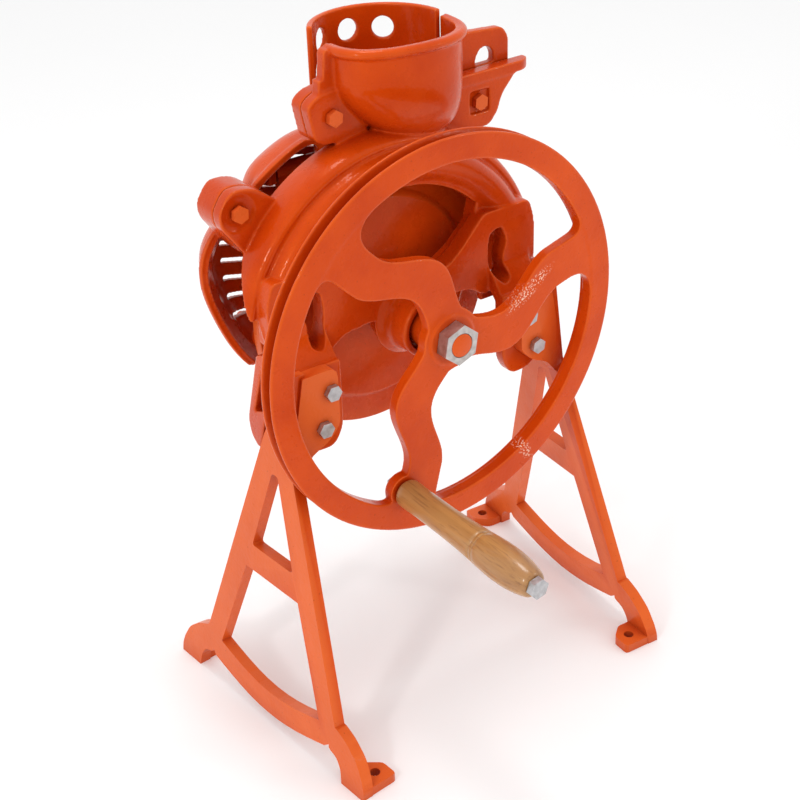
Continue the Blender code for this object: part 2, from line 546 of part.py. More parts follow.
def build_front_casting():
    wall = CASE_WALL
    shell = [(0, WEB_FRONT), (0.117, WEB_FRONT), (0.124, 0.0150), (0.129, 0.0115), (0.1335, 0.0160), (0.138, 0.0195),
             (0.1425, 0.0155), (0.147, 0.0135), (0.1515, 0.0165), (0.1545, 0.0260), (CASE_R, 0.040),
             (CASE_R, SPLIT_Y + 0.001), (CASE_R - wall, SPLIT_Y + 0.001), (CASE_R - wall - 0.001, 0.042),
             (0.147, 0.030), (0.142, 0.0255), (0.129, 0.0220), (0.122, WEB_FRONT + wall), (0, WEB_FRONT + wall)]
    front = lathe("front_casting", shell, 'y', (0, AXLE_Z), 72)

    # half-moon window above the arms, with a lip; everything open below them, the left side left free for cobs
    moon = half_moon(14)
    below = [(-0.043, 0.3615), (-0.068, 0.360), (-0.086, 0.350), (-0.088, 0.335), (-0.20, 0.335), (-0.20, 0.15)]
    below += [(-x, z) for x, z in reversed(below)]
    free = [(0.070, 0.4515), (0.060, 0.4465), (0.037, 0.410), (0.022, 0.382), (0.013, 0.360), (0.013, 0.30),
            (0.1, 0.30), (0.1, 0.4515)]
    add(front, prism("front_moon_lip", grown(moon, 0.0055), 'y', WEB_FRONT + 0.002, 0.0370))
    cut(front, prism("front_moon", moon, 'y', -0.02, SPLIT_Y - 0.010),
        prism("front_open_bottom", below, 'y', -0.03, 0.10),
        prism("front_cob_side", free, 'x', -0.2, -0.1005))

    # cross bar, forward-running arms and the pads that carry the legs
    bar = [(-0.142, 0.372), (-0.142, 0.405), (-0.136, 0.425), (-0.084, 0.425), (-0.077, 0.418), (-0.060, 0.400),
           (-0.045, 0.388), (-0.026, 0.3835)]
    bar += [(-x, z) for x, z in reversed(bar)]
    under = [(0.142, 0.368), (0.084, 0.346), (0.068, 0.357), (0.045, 0.359)]
    bar += under + [(-x, z) for x, z in reversed(under)]
    add(front, prism("front_bar", bar, 'y', BAR_FRONT, WEB_FRONT + wall + 0.0005))
    back = PAD_FRONT + PAD_THICK
    ramp = [(BAR_FRONT + 0.001, 0.404), (BAR_FRONT - 0.0005, 0.372), (PAD_FRONT + 0.0006, 0.346),
            (PAD_FRONT + 0.0006, 0.322), (back - 0.0006, 0.322), (back - 0.0006, 0.340),
            (WEB_FRONT + 0.003, 0.364), (WEB_FRONT + 0.003, 0.404)]
    pad = rounded([(0.0880, 0.350), (0.1350, 0.350), (0.1350, 0.300), (0.1240, 0.270), (0.098, 0.268),
                   (0.0880, 0.285)], [0.002, 0.004, 0.010, 0.014, 0.014, 0.012], 3)
    for side, tag in ((-1, "left"), (1, "right")):
        add(front, prism("front_ramp_" + tag, ramp, 'x', min(side * 0.0886, side * 0.1345),
                         max(side * 0.0886, side * 0.1345)),
            prism("front_pad_" + tag, mirrored(pad, side), 'y', PAD_FRONT, back))
        cut(front, kidney(side, -0.03, WEB_FRONT + 0.02, "front_kidney_" + tag))

    # boots behind the arms that reach over the tips of the legs, each with a pocket
    boot = rounded([(-0.0020, 0.3055), (0.0120, 0.3050), (0.0190, 0.2975), (0.0285, 0.2670), (0.0340, 0.2660),
                    (0.0440, 0.2740), (0.0470, 0.2890), (0.0240, 0.3600), (0.0120, 0.3640), (-0.0020, 0.3450)],
                   [0, 0.002, 0.003, 0.002, 0.003, 0.006, 0.006, 0.002, 0, 0], 2)
    pocket = [(0.0030, 0.3140), (0.0350, 0.3010), (0.0170, 0.3480), (0.0030, 0.3500)]
    for side, tag in ((-1, "left"), (1, "right")):
        add(front, prism("front_boot_" + tag, boot, 'x', min(side * 0.1285, side * 0.1490),
                         max(side * 0.1285, side * 0.1490)))
        cut(front, prism("front_pocket_" + tag, pocket, 'x', min(side * 0.1360, side * 0.1600),
                         max(side * 0.1360, side * 0.1600)))

    # long bearing barrel with a counterbore for the wheel hub
    barrel = [(0, BARREL_FRONT), (BARREL_R - 0.0015, BARREL_FRONT), (BARREL_R, BARREL_FRONT + 0.0015),
              (BARREL_R, 0.005), (BARREL_R + 0.008, BAR_FRONT + 0.001), (BARREL_R + 0.003, WEB_FRONT + wall),
              (BARREL_R - 0.002, BARREL_BACK), (0, BARREL_BACK)]
    add(front, lathe("front_barrel", barrel, 'y', (0, AXLE_Z), 40, 0.5))
    bore = [(0, -0.04), (0.0225, -0.04), (0.0225, BUSH_FRONT - 0.001), (BUSH_R + GAP, BUSH_FRONT - 0.001),
            (BUSH_R + GAP, 0.07), (0, 0.07)]
    cut(front, lathe("front_bore", bore, 'y', (0, AXLE_Z), 32, 0.3))

    # front half of the hopper with its rolled rim and the flange at its left end
    add(front, hopper_body("front_hopper", 0.0, HOPPER_BOTTOM, HOPPER_TOP_FRONT - 0.0005, 5, 48),
        hopper_bead("front_bead", 48, 8))
    end_flange = rounded([(-0.0470, 0.5900), (-0.0492, 0.5660), (-0.0535, 0.5655), (-0.0545, 0.5500),
                          (-0.0300, 0.5480), (-0.0330, 0.5900)], [0.004, 0.001, 0.001, 0, 0, 0], 2)
    add(front, prism("front_end_flange", end_flange, 'y', 0.0515, SPLIT_Y + 0.001))
    for name, outline in lug_outlines().items():
        add(front, prism("front_lug_" + name, outline, 'y', SPLIT_Y - LUG_THICK, SPLIT_Y + 0.001))
    tongue = rounded([(0.068, 0.0490), (0.160, 0.0490), (0.169, 0.0550), (0.169, SPLIT_Y + 0.001),
                      (0.068, SPLIT_Y + 0.001)], [0, 0.006, 0.004, 0, 0], 3)
    add(front, prism("front_tongue", tongue, 'z', 0.5285, 0.5380))
    cut(front, hopper_body("front_room", HOPPER_WALL, HOPPER_BOTTOM + 0.0065, 0.62, 4, 40),
        prism("front_throat", [(0.040, 0.5150), (0.040, 0.5060), (0.070, 0.4900), (0.070, 0.5150)], 'x', 0.024, 0.060),
        block("front_half_only", (-0.3, SPLIT_Y - GAP, 0.2), (0.3, 0.3, 0.7)),
        block("front_recess", (0.1010, 0.0, 0.5005), (0.1220, SPLIT_Y - LUG_THICK + 0.003, 0.5210)))
    for name, spot in CASE_BOLTS.items():
        cut(front, rod("front_hole_" + name, 'y', spot, 0.0, 0.1, M8_R + BORE_PLAY))
    for level, (x, z) in LEG_BOLTS.items():
        for side in (-1, 1):
            cut(front, rod("front_leg_hole_%s_%d" % (level, side), 'y', (side * x, z), -0.05, 0.012,
                           M8_R + BORE_PLAY))
    give_material(front, ORANGE, 0.28, 0.0)


def build_rear_casting():
    # bowl: a wall that curls forward from the flat back, thickened afterwards
    bm = bmesh.new()
    steps, curl, curl_steps = 54, 0.040, 4
    rows = []
    for i in range(steps + 1):
        turn = SHELL_START + (SHELL_END - SHELL_START) * i / steps
        radius, rim = shell_radius(turn) - CASE_WALL / 2, shell_rim(turn)
        back = BACK_OUT - CASE_WALL / 2
        line = [(0.030, back), (radius - curl, back)]
        for k in range(1, curl_steps + 1):
            bend = math.radians(90.0 * k / curl_steps)
            line.append((radius - curl + curl * math.sin(bend), back - curl + curl * math.cos(bend)))
        line.append((radius, rim))
        angle = math.radians(turn)
        rows.append([bm.verts.new((r * math.cos(angle), y, AXLE_Z + r * math.sin(angle))) for r, y in line])
    for left, right in zip(rows, rows[1:]):
        for k in range(len(left) - 1):
            bm.faces.new((left[k], left[k + 1], right[k + 1], right[k]))
    rear = new_object("rear_casting", bm)
    thick = rear.modifiers.new("wall", 'SOLIDIFY')
    thick.thickness = CASE_WALL
    thick.offset = 0.0
    thick.use_even_offset = True
    add(rear, rim_lip("rear_lip", 30))

    # lower apron that closes the hole left by the bowl, and the round wall of the hopper
    apron = rounded([(-0.112, 0.318), (-0.070, 0.262), (0.070, 0.262), (0.135, 0.292), (0.128, 0.345), (0.045, 0.384),
                     (-0.045, 0.384), (-0.108, 0.330)], [0.004, 0.02, 0.02, 0.01, 0.004, 0.01, 0.01, 0.004])
    add(rear, prism("rear_apron", apron, 'y', BACK_IN + 0.0001, BACK_OUT - 0.0001),
        rod("rear_hopper", 'z', REAR_RING, 0.486, HOPPER_TOP_REAR, REAR_RING_R, 48))
    gap_end = math.radians(REAR_RING_END)
    gap = [REAR_RING, (REAR_RING[0] + 0.09 * math.cos(gap_end), REAR_RING[1] + 0.09 * math.sin(gap_end)),
           (REAR_RING[0] - 0.09, REAR_RING[1] + 0.02), (REAR_RING[0] - 0.09, REAR_RING[1] - 0.02)]
    cut(rear, prism("rear_gap", gap, 'z', 0.5150, 0.62))
    for name, outline in lug_outlines().items():
        add(rear, prism("rear_lug_" + name, outline, 'y', SPLIT_Y - 0.001, REAR_SEATS[name]))
    ear = rounded([(0.146, 0.330), (0.170, 0.332), (0.177, 0.350), (0.170, 0.366), (0.146, 0.380)],
                  [0, 0.010, 0.010, 0.008, 0])
    spur = rounded([(0.140, 0.366), (0.162, 0.366), (0.172, 0.372), (0.164, 0.379), (0.140, 0.384)],
                   [0, 0.002, 0.003, 0.003, 0])
    tab = rounded([(0.068, 0.525), (0.1535, 0.525), (0.1535, 0.558), (0.1470, 0.5675), (0.1070, 0.5705), (0.068, 0.566)],
                  [0, 0, 0.005, 0.006, 0.004, 0], 3)
    arch = rounded([(0.1165, 0.5385), (0.1365, 0.5385), (0.1365, 0.5480), (0.1300, 0.5540), (0.1215, 0.5530),
                    (0.1165, 0.5450)], [0, 0, 0.004, 0.006, 0.005, 0.003], 3)
    add(rear, prism("rear_ear", ear, 'y', SPLIT_Y - 0.001, SPLIT_Y + 0.013),
        prism("rear_spur", spur, 'y', SPLIT_Y + 0.0135, SPLIT_Y + 0.020),
        prism("rear_tab", tab, 'y', SPLIT_Y - 0.001, SPLIT_Y + 0.009))
    # spring cup behind the pressure plate and the two ears of its hinge pin
    cup = lathe("rear_cup", [(0, BACK_OUT - 0.003), (CUP_R + 0.003, BACK_OUT - 0.003), (CUP_R, BACK_OUT + 0.004),
                             (CUP_R, CUP_OUT - 0.001), (CUP_R - 0.001, CUP_OUT), (0, CUP_OUT)],
                'y', (SPRING_X, SPRING_Z), 32)
    add(rear, cup)
    pivot_y, pivot_z = PLATE_PIVOT
    for side, x0 in (("left", PLATE_X[0] - 0.010), ("right", PLATE_X[1] + 0.002)):
        ear_side = [(pivot_y - 0.008, pivot_z - 0.008), (BACK_OUT - 0.002, pivot_z - 0.014),
                    (BACK_OUT - 0.002, pivot_z + 0.010), (pivot_y - 0.008, pivot_z + 0.008)]
        add(rear, prism("rear_hinge_" + side, ear_side, 'x', x0, x0 + 0.008))

    cut(rear, rod("rear_room", 'z', REAR_RING, 0.440, 0.62, REAR_RING_R - 0.005, 40),
        block("rear_half_only", (-0.3, -0.2, 0.20), (0.3, SPLIT_Y + GAP, 0.7)),
        lathe("rear_cup_bore", [(0, 0.12), (CUP_BORE, 0.12), (CUP_BORE, CUP_OUT - 0.006), (0, CUP_OUT - 0.006)],
              'y', (SPRING_X, SPRING_Z), 32),
        rod("rear_screw_hole", 'y', (SPRING_X, SPRING_Z), 0.14, 0.20, M8_R + BORE_PLAY),
        rod("rear_pivot_hole", 'x', PLATE_PIVOT, -0.08, 0.06, PIN_R + GAP, 16))
    for name, spot in CASE_BOLTS.items():
        cut(rear, rod("rear_hole_" + name, 'y', spot, 0.05, 0.11, M8_R + BORE_PLAY))
    cut(rear, prism("rear_tab_arch", arch, 'y', 0.05, 0.09))

    # round holes in the hopper and the slots of the grate
    for k, (turn, height, radius) in enumerate(((53, 0.576, 0.0095), (85, 0.577, 0.0095), (119, 0.577, 0.0095),
                                                (127, 0.551, 0.0080))):
        hole = rod("rear_vent_%d" % k, 'x', (0, 0), 0.03, 0.09, radius, 16)
        hole.data.transform(Matrix.Rotation(math.radians(turn), 4, 'Z'))
        hole.data.transform(Matrix.Translation((REAR_RING[0], REAR_RING[1], height)))
        cut(rear, hole)
    for k, (x0, x1, z, y0, y1) in enumerate(grate_slots()):
        drop, half = SLOT_SLOPE * (x1 - x0), SLOT_HEIGHT / 2
        slot = [(x0, z - half), (x1, z - drop - half), (x1, z - drop + half), (x0, z + half)]
        cut(rear, prism("rear_slot_%d" % k, slot, 'y', y0, y1))
    give_material(rear, ORANGE, 0.3, 0.0)


# ---- legs -------------------------------------------------------------------------
def edge_s(z):
    """Half width of the A measured to its outer edge at a height."""
    return 0.0953 - LEG_SLOPE * (z - 0.053)


def leg_outline():
    half, foot = FOOT_HALF, FOOT_LEN
    top = 0.356
    front = FLANGE_FRONT
    step = front + FLANGE_THICK - 0.0030
    points = [(front + 0.0015, top), (step, top), (step, 0.318), (-0.004, 0.303),
              (0.010, 0.301), (edge_s(0.290), 0.290), (edge_s(0.053), 0.053), (0.112, 0.046), (0.127, 0.034),
              (0.136, 0.018), (half, 0.008), (half, -0.003), (half - foot, -0.003), (0.1065, 0.014), (0.100, 0.023),
              (0.088, 0.026)]
    sizes = [0, 0, 0.010, 0.003, 0.006, 0.004, 0.004, 0.005, 0.005, 0.004, 0.002, 0, 0, 0.004, 0.004, 0.004]
    outline = rounded(points, sizes, 2)
    outline += [(0.083 - 0.166 * k / 12, 0.0250 - 0.015 * math.sin(math.pi * k / 12)) for k in range(13)]
    mirror = [(-a, b) for a, b in reversed(rounded(points[6:], sizes[6:], 2))]
    outline += mirror[:-1]
    outline += [(-edge_s(0.2733), 0.2733)]
    return outline


def leg_windows():
    steps = 10
    lower = [(0.0739 - 0.1478 * k / steps, 0.0465 - 0.0135 * math.sin(math.pi * k / steps)) for k in range(steps + 1)]
    lower += [(-0.0379, 0.1482), (0.0379, 0.1482)]
    upper = rounded([(0.0294, 0.1734), (-0.0294, 0.1734), (-0.0040, 0.2560), (0.0040, 0.2560)],
                    [0.004, 0.004, 0.003, 0.003], 3)
    return lower, upper


def build_leg(side, tag):
    """One A-shaped leg; built upright along Y, then leaned, turned and moved to its side."""
    lean, toe = math.radians(LEG_LEAN), math.radians(LEG_TOE)
    place = (Matrix.Translation((side * LEG_X, LEG_SHIFT, 0)) @ Matrix.Rotation(-side * toe, 4, 'Z')
             @ Matrix.Rotation(-side * lean, 4, 'Y'))
    thin = (0.0, -side * LEG_THICK)
    low, high = min(thin), max(thin)
    stretch = 1.0 / math.cos(lean)
    to_frame = lambda pts: [(a, b * stretch) for a, b in pts]
    leg = prism("leg_" + tag, to_frame(leg_outline()), 'x', low, high)
    leg.data.transform(place)
    for k, hole in enumerate(leg_windows()):
        opening = prism("leg_%s_window_%d" % (tag, k), to_frame(hole), 'x', low - 0.01, high + 0.01)
        opening.data.transform(place)
        cut(leg, opening)

    # feet: inward pads with a screw hole each, kept flat on the floor
    flat = Matrix.Translation((side * LEG_X, LEG_SHIFT, 0)) @ Matrix.Rotation(-side * toe, 4, 'Z')
    for end, label in ((-1, "front"), (1, "rear")):
        near, far = end * (FOOT_HALF - FOOT_LEN + 0.0005), end * (FOOT_HALF - 0.0005)
        inner = -side * (LEG_THICK + FOOT_PAD)
        cut_back = -side * (LEG_THICK + FOOT_PAD * 0.55)
        shape = rounded([(-side * 0.002, far), (-side * 0.002, near), (cut_back, near), (inner, near + end * 0.011),
                         (inner, far)], [0, 0, 0.003, 0.003, 0.003], 2)
        pad = prism("leg_%s_%s_pad" % (tag, label), shape, 'z', -0.002, FOOT_PAD_THICK)
        pad.data.transform(flat)
        add(leg, pad)
        middle = (-side * (LEG_THICK + FOOT_PAD * 0.52), end * (FOOT_HALF - FOOT_LEN * 0.46))
        hole = rod("leg_%s_%s_hole" % (tag, label), 'z', middle, -0.01, 0.02, 0.0048, 16)
        hole.data.transform(flat)
        cut(leg, hole)
    cut(leg, block("leg_%s_floor" % tag, (-0.3, -0.3, -0.05), (0.3, 0.3, 0.0)))

    # flange turned across the front of the arm pad
    flange = rounded([(0.0995, 0.352), (0.1340, 0.352), (0.1405, 0.318), (0.1495, 0.262), (0.1440, 0.258),
                      (0.1300, 0.276), (0.1120, 0.284), (0.0995, 0.297)],
                     [0.010, 0.002, 0.003, 0.002, 0.003, 0.006, 0.006, 0.006], 3)
    add(leg, prism("leg_%s_flange" % tag, mirrored(flange, side), 'y', FLANGE_FRONT, FLANGE_FRONT + FLANGE_THICK))
    for level, (x, z) in LEG_BOLTS.items():
        cut(leg, rod("leg_%s_bolt_hole_%s" % (tag, level), 'y', (side * x, z), -0.05, 0.0, M8_R + BORE_PLAY))
    give_material(leg, ORANGE, 0.3, 0.0)


def build_leg_bolts():
    for side, tag in ((-1, "left"), (1, "right")):
        for level, (x, z) in LEG_BOLTS.items():
            spot = (side * x, z)
            back = PAD_FRONT + PAD_THICK
            hex_bolt("leg_bolt_%s_%s" % (tag, level), spot, FLANGE_FRONT, back + M8_NUT + 0.0015, M8_R, M8_FLATS,
                     M8_HEAD, spin=8.0 + 11.0 * side)
            hex_nut("leg_nut_%s_%s" % (tag, level), spot, back + GAP, back + GAP + M8_NUT, M8_R + GAP, M8_FLATS)


def build_case_bolts():
    for name, spot in CASE_BOLTS.items():
        seat = SPLIT_Y - LUG_THICK + (0.003 if name == "top_right" else 0.0)
        rear = REAR_SEATS[name]
        hex_bolt("case_bolt_" + name, spot, seat, rear + M8_NUT + 0.0015, M8_R, M8_FLATS, M8_HEAD, ORANGE, 25.0)
        hex_nut("case_nut_" + name, spot, rear + GAP, rear + GAP + M8_NUT, M8_R + GAP, M8_FLATS, ORANGE, 5.0)


# ---- handle ------------------------------------------------------------------------
def build_handle():
    base = WHEEL_FRONT - 0.0012
    tip = base - GRIP_LEN
    bore = M10_R + BORE_PLAY
    shape = [(bore, base), (GRIP_BASE_R - 0.0015, base), (GRIP_BASE_R, base - 0.0015), (0.0128, base - 0.030),
             (0.0131, base - 0.060), (0.0140, base - 0.085), (0.0151, base - 0.1035), (0.0147, base - 0.1045),
             (0.0153, base - 0.1055), (0.0162, base - 0.118), (GRIP_BULB_R, base - 0.132), (0.0162, base - 0.145),
             (0.0143, base - 0.157), (GRIP_TIP_R + 0.0015, base - 0.166), (GRIP_TIP_R, tip), (bore, tip)]
    grip = lathe("handle_grip", shape, 'y', (CRANK_X, CRANK_Z), 32)
    seat_origin(grip, (CRANK_X, (base + tip) / 2, CRANK_Z))
    give_material(grip, WOOD, 0.35, 0.0)
    back = WHEEL_FRONT + SPOKE_DEPTH
    bolt = hex_bolt("handle_bolt", (CRANK_X, CRANK_Z), tip - GAP, back + M10_NUT + 0.0010, M10_R, M10_FLATS, M10_HEAD)
    nut = hex_nut("handle_nut", (CRANK_X, CRANK_Z), back + GAP, back + GAP + M10_NUT, M10_R + GAP, M10_FLATS)
    for piece in (bolt, nut):
        seat_origin(piece, (0, 0, AXLE_Z))


# ---- pressure plate -------------------------------------------------------------------
def build_pressure():
    pivot_y, pivot_z = PLATE_PIVOT
    back = PLATE_FRONT + PLATE_THICK
    side = [(PLATE_FRONT + 0.003, pivot_z - 0.002), (PLATE_FRONT, pivot_z - 0.020), (PLATE_FRONT, 0.330),
            (PLATE_FRONT + 0.004, 0.306), (back + 0.002, 0.306), (back, 0.330), (back, pivot_z - 0.020),
            (pivot_y + 0.002, pivot_z - 0.004)]
    plate = prism("pressure_plate", side, 'x', PLATE_X[0], PLATE_X[1])
    knuckle = rod("pressure_knuckle", 'x', PLATE_PIVOT, PLATE_X[0] - 0.0005, PLATE_X[1] + 0.0005, 0.0075)
    add(plate, knuckle)
    for k in range(7):
        x = PLATE_X[0] + 0.011 + k * 0.013
        add(plate, prism("pressure_rib_%d" % k, [(PLATE_FRONT + 0.001, 0.335), (PLATE_FRONT - 0.003, 0.342),
                                                 (PLATE_FRONT - 0.003, 0.440), (PLATE_FRONT + 0.001, 0.447)],
                         'x', x - 0.002, x + 0.002))
    cut(plate, rod("pressure_bore", 'x', PLATE_PIVOT, -0.08, 0.06, PIN_R + BORE_PLAY, 16))
    seat_origin(plate, (0, pivot_y, pivot_z))
    give_material(plate, ORANGE, 0.35, 0.0)
    pin = rod("pressure_pin", 'x', PLATE_PIVOT, PLATE_X[0] - 0.012, PLATE_X[1] + 0.012, PIN_R, 16)
    give_material(pin, STEEL, 0.35, 0.9)

    seat_y = 0.1500
    seat = lathe("spring_seat", [(0, seat_y), (CUP_BORE - 0.0006, seat_y), (CUP_BORE - 0.0006, seat_y + 0.002),
                                 (0, seat_y + 0.002)], 'y', (SPRING_X, SPRING_Z))
    give_material(seat, STEEL, 0.4, 0.9)
    screw = rod("tension_screw", 'y', (SPRING_X, SPRING_Z), seat_y + 0.002 + GAP, CUP_OUT + 0.018, M8_R)
    give_material(screw, STEEL, 0.35, 0.9)
    nut_y = CUP_OUT + GAP
    wing = rounded([(-0.020, -0.004), (-0.010, -0.0062), (0.010, -0.0062), (0.020, -0.004), (0.020, 0.004),
                    (0.010, 0.0062), (-0.010, 0.0062), (-0.020, 0.004)], 0.003, 2)
    nut = prism("wing_nut", [(SPRING_X + a, SPRING_Z + b) for a, b in wing], 'y', nut_y, nut_y + 0.008)
    cut(nut, rod("wing_nut_thread", 'y', (SPRING_X, SPRING_Z), nut_y - 0.01, nut_y + 0.02, M8_R + GAP))
    give_material(nut, STEEL, 0.4, 0.9)
    build_spring(back + 0.0013, seat_y - 0.0013)


def build_spring(front, back):
    """Coil wound around Y between the pressure plate and the spring seat."""
    per_turn, sides = 14, 6
    total = SPRING_TURNS * per_turn
    centres = []
    for i in range(total + 1):
        turn = 2 * math.pi * i / per_turn
        y = front + (back - front) * i / total
        centres.append(Vector((SPRING_X + SPRING_R * math.cos(turn), y, SPRING_Z + SPRING_R * math.sin(turn))))
    bm = bmesh.new()
    rings = []
    for i, centre in enumerate(centres):
        ahead = (centres[min(i + 1, total)] - centres[max(i - 1, 0)]).normalized()
        out = Vector((centre.x - SPRING_X, 0, centre.z - SPRING_Z)).normalized()
        up = ahead.cross(out)
        rings.append([bm.verts.new(centre + SPRING_WIRE * (out * math.cos(2 * math.pi * k / sides)
                                                          + up * math.sin(2 * math.pi * k / sides)))
                      for k in range(sides)])
    for first, second in zip(rings, rings[1:]):
        for k in range(sides):
            bm.faces.new((first[k], first[(k + 1) % sides], second[(k + 1) % sides], second[k]))
    bm.faces.new(rings[0])
    bm.faces.new(list(reversed(rings[-1])))
    spring = new_object("tension_spring", bm)
    give_material(spring, STEEL, 0.35, 0.9)


clear_scene()
CUTTERS = bpy.data.collections.new("cutters")
bpy.context.scene.collection.children.link(CUTTERS)
build_flywheel()
build_axle()
build_rotor()
build_front_casting()
build_rear_casting()
build_leg(-1, "left")
build_leg(1, "right")
build_leg_bolts()
build_case_bolts()
build_handle()
build_pressure()
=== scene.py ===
import json
import math

import bmesh
import bpy
from mathutils import Matrix, Vector


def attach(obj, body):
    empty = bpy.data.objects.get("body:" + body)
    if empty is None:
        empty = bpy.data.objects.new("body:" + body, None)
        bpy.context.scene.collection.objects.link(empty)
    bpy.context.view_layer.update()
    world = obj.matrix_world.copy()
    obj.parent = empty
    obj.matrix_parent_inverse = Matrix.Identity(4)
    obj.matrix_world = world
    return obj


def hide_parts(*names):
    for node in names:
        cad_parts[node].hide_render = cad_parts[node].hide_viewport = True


# ---- layout, in metres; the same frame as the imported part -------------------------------
AXLE_Z = 0.354
SPLIT_Y = 0.062
GAP = 0.0003
WHEEL_R, WHEEL_FRONT, RIM_WIDTH, RIM_INNER = 0.180, -0.0495, 0.016, 0.158
CRANK_X, CRANK_Z = -0.0532, AXLE_Z - 0.1317
HUB_R, WINDOW_R, WINDOW_SOFT, CRANK_BOSS_R = 0.024, 0.1574, (0.013, 0.026), 0.0155
HOPPER_WALL, HOPPER_BEAD, HOPPER_TOP_FRONT, HOPPER_TOP_REAR = 0.0055, 0.0042, 0.5920, 0.5970
HOPPER_BOTTOM, HOPPER_STRAIGHT, HOPPER_FRONT_Y, HOPPER_TURN = 0.5000, 0.5600, 0.0580, -6.0
REAR_RING, REAR_RING_R, REAR_RING_END = (0.0177, 0.0639), 0.0610, 150.0
SHELL_START, SHELL_END = -11.0, 199.0
LIP_START, LIP_END, LIP_WIDTH = 108.0, 198.0, 0.0065
SLOT_SLOPE, SLOT_HEIGHT = 0.24, 0.0046
LUG_THICK = 0.0120
REAR_SEATS = {"top_left": 0.0760, "top_right": 0.0740, "left": 0.0880}
CASE_R, CASE_WALL = 0.156, 0.006
WEB_FRONT, BAR_FRONT = 0.021, 0.011
BACK_IN, BACK_OUT = 0.134, 0.140
CHUTE_RIM_Y = 0.084
CASE_BOLTS = {"top_left": (-0.0430, 0.5335), "top_right": (0.1115, 0.5105), "left": (-0.1385, 0.4755)}
LEG_BOLTS = {"upper": (0.1067, 0.3307), "lower": (0.1161, 0.2987)}
PAD_FRONT, PAD_BACK = -0.0107, 0.0013
BOLT_HOLE_R, CRANK_HOLE_R, PIN_HOLE_R = 0.0044, 0.0054, 0.0033
BUSH_BORE_R, COUNTERBORE_R, SHAFT_BORE_R = 0.018, 0.0225, 0.0129
ROTOR_R, ROTOR_HUB_R, TOOTH_RINGS, TOOTH_PITCH = 0.123, 0.024, 3, 0.027
SPRING_SPOT, PLATE_PIN = (-0.010, 0.350), (0.122, 0.468)
SPOKES, FIRST_SPOKE, SPOKE_LENGTH = 3, 15.0, 0.118
GRIP_LENGTH = 0.170
CAST_VOXEL, WHEEL_VOXEL = 0.0011, 0.0008

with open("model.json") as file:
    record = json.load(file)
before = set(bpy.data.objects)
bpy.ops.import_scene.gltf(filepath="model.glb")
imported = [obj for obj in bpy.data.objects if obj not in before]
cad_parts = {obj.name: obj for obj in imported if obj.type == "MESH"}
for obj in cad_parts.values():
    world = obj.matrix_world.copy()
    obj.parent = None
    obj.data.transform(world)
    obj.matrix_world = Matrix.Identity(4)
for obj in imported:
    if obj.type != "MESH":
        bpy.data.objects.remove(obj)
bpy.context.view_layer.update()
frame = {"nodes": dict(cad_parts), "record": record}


# ---- modelling helpers ---------------------------------------------------------------------
def link(obj):
    bpy.context.scene.collection.objects.link(obj)
    return obj


def new_object(name, bm):
    bmesh.ops.recalc_face_normals(bm, faces=bm.faces)
    mesh = bpy.data.meshes.new(name)
    bm.to_mesh(mesh)
    bm.free()
    return link(bpy.data.objects.new(name, mesh))


def prism(name, outline, axis, low, high):
    """Outline drawn across an axis and extruded along it from low to high."""
    place = {
        'x': lambda a, b, c: (c, a, b),
        'y': lambda a, b, c: (a, c, b),
        'z': lambda a, b, c: (a, b, c),
    }[axis]
    bm = bmesh.new()
    face = bm.faces.new([bm.verts.new(place(a, b, low)) for a, b in outline])
    grown = bmesh.ops.extrude_face_region(bm, geom=[face])
    moved = [item for item in grown["geom"] if isinstance(item, bmesh.types.BMVert)]
    bmesh.ops.translate(bm, verts=moved, vec=Vector(place(0, 0, high - low)))
    return new_object(name, bm)


def lathe(name, profile, axis, center, segments=160, phase=0.0):
    """Profile of (radius, along) points turned about an axis; it is capped where it starts on the axis."""
    turn = {
        'x': lambda r, t, h: (h, center[0] + r * math.cos(t), center[1] + r * math.sin(t)),
        'y': lambda r, t, h: (center[0] + r * math.cos(t), h, center[1] + r * math.sin(t)),
        'z': lambda r, t, h: (center[0] + r * math.cos(t), center[1] + r * math.sin(t), h),
    }[axis]
    capped = profile[0][0] == 0
    if capped:
        profile = profile[1:-1]
    bm = bmesh.new()
    angles = [2 * math.pi * (i + phase) / segments for i in range(segments)]
    rings = [[bm.verts.new(turn(radius, angle, along)) for angle in angles] for radius, along in profile]
    pairs = list(zip(rings, rings[1:]))
    if capped:
        bm.faces.new(rings[0])
        bm.faces.new(rings[-1])
    else:
        pairs.append((rings[-1], rings[0]))
    for first, second in pairs:
        for i in range(segments):
            j = (i + 1) % segments
            bm.faces.new((first[i], first[j], second[j], second[i]))
    return new_object(name, bm)


def rod(name, axis, center, low, high, radius, segments=48):
    return lathe(name, [(0, low), (radius, low), (radius, high), (0, high)], axis, center, segments, 0.37)


def block(name, low, high):
    return prism(name, [(low[0], low[1]), (high[0], low[1]), (high[0], high[1]), (low[0], high[1])], 'z',
                 low[2], high[2])


def combine(target, other, operation):
    """Boolean with a helper object that is removed afterwards."""
    mod = target.modifiers.new("boolean", 'BOOLEAN')
    mod.operation = operation
    mod.solver = 'EXACT'
    mod.object = other
    bake(target)
    bpy.data.objects.remove(other, do_unlink=True)


def cut(target, *others):
    for other in others:
        combine(target, other, 'DIFFERENCE')


def add(target, *others):
    for other in others:
        combine(target, other, 'UNION')


def bake(obj):
    """Turn the modifiers of an object into its mesh."""
    graph = bpy.context.evaluated_depsgraph_get()
    mesh = bpy.data.meshes.new_from_object(obj.evaluated_get(graph))
    obj.modifiers.clear()
    obj.data = mesh


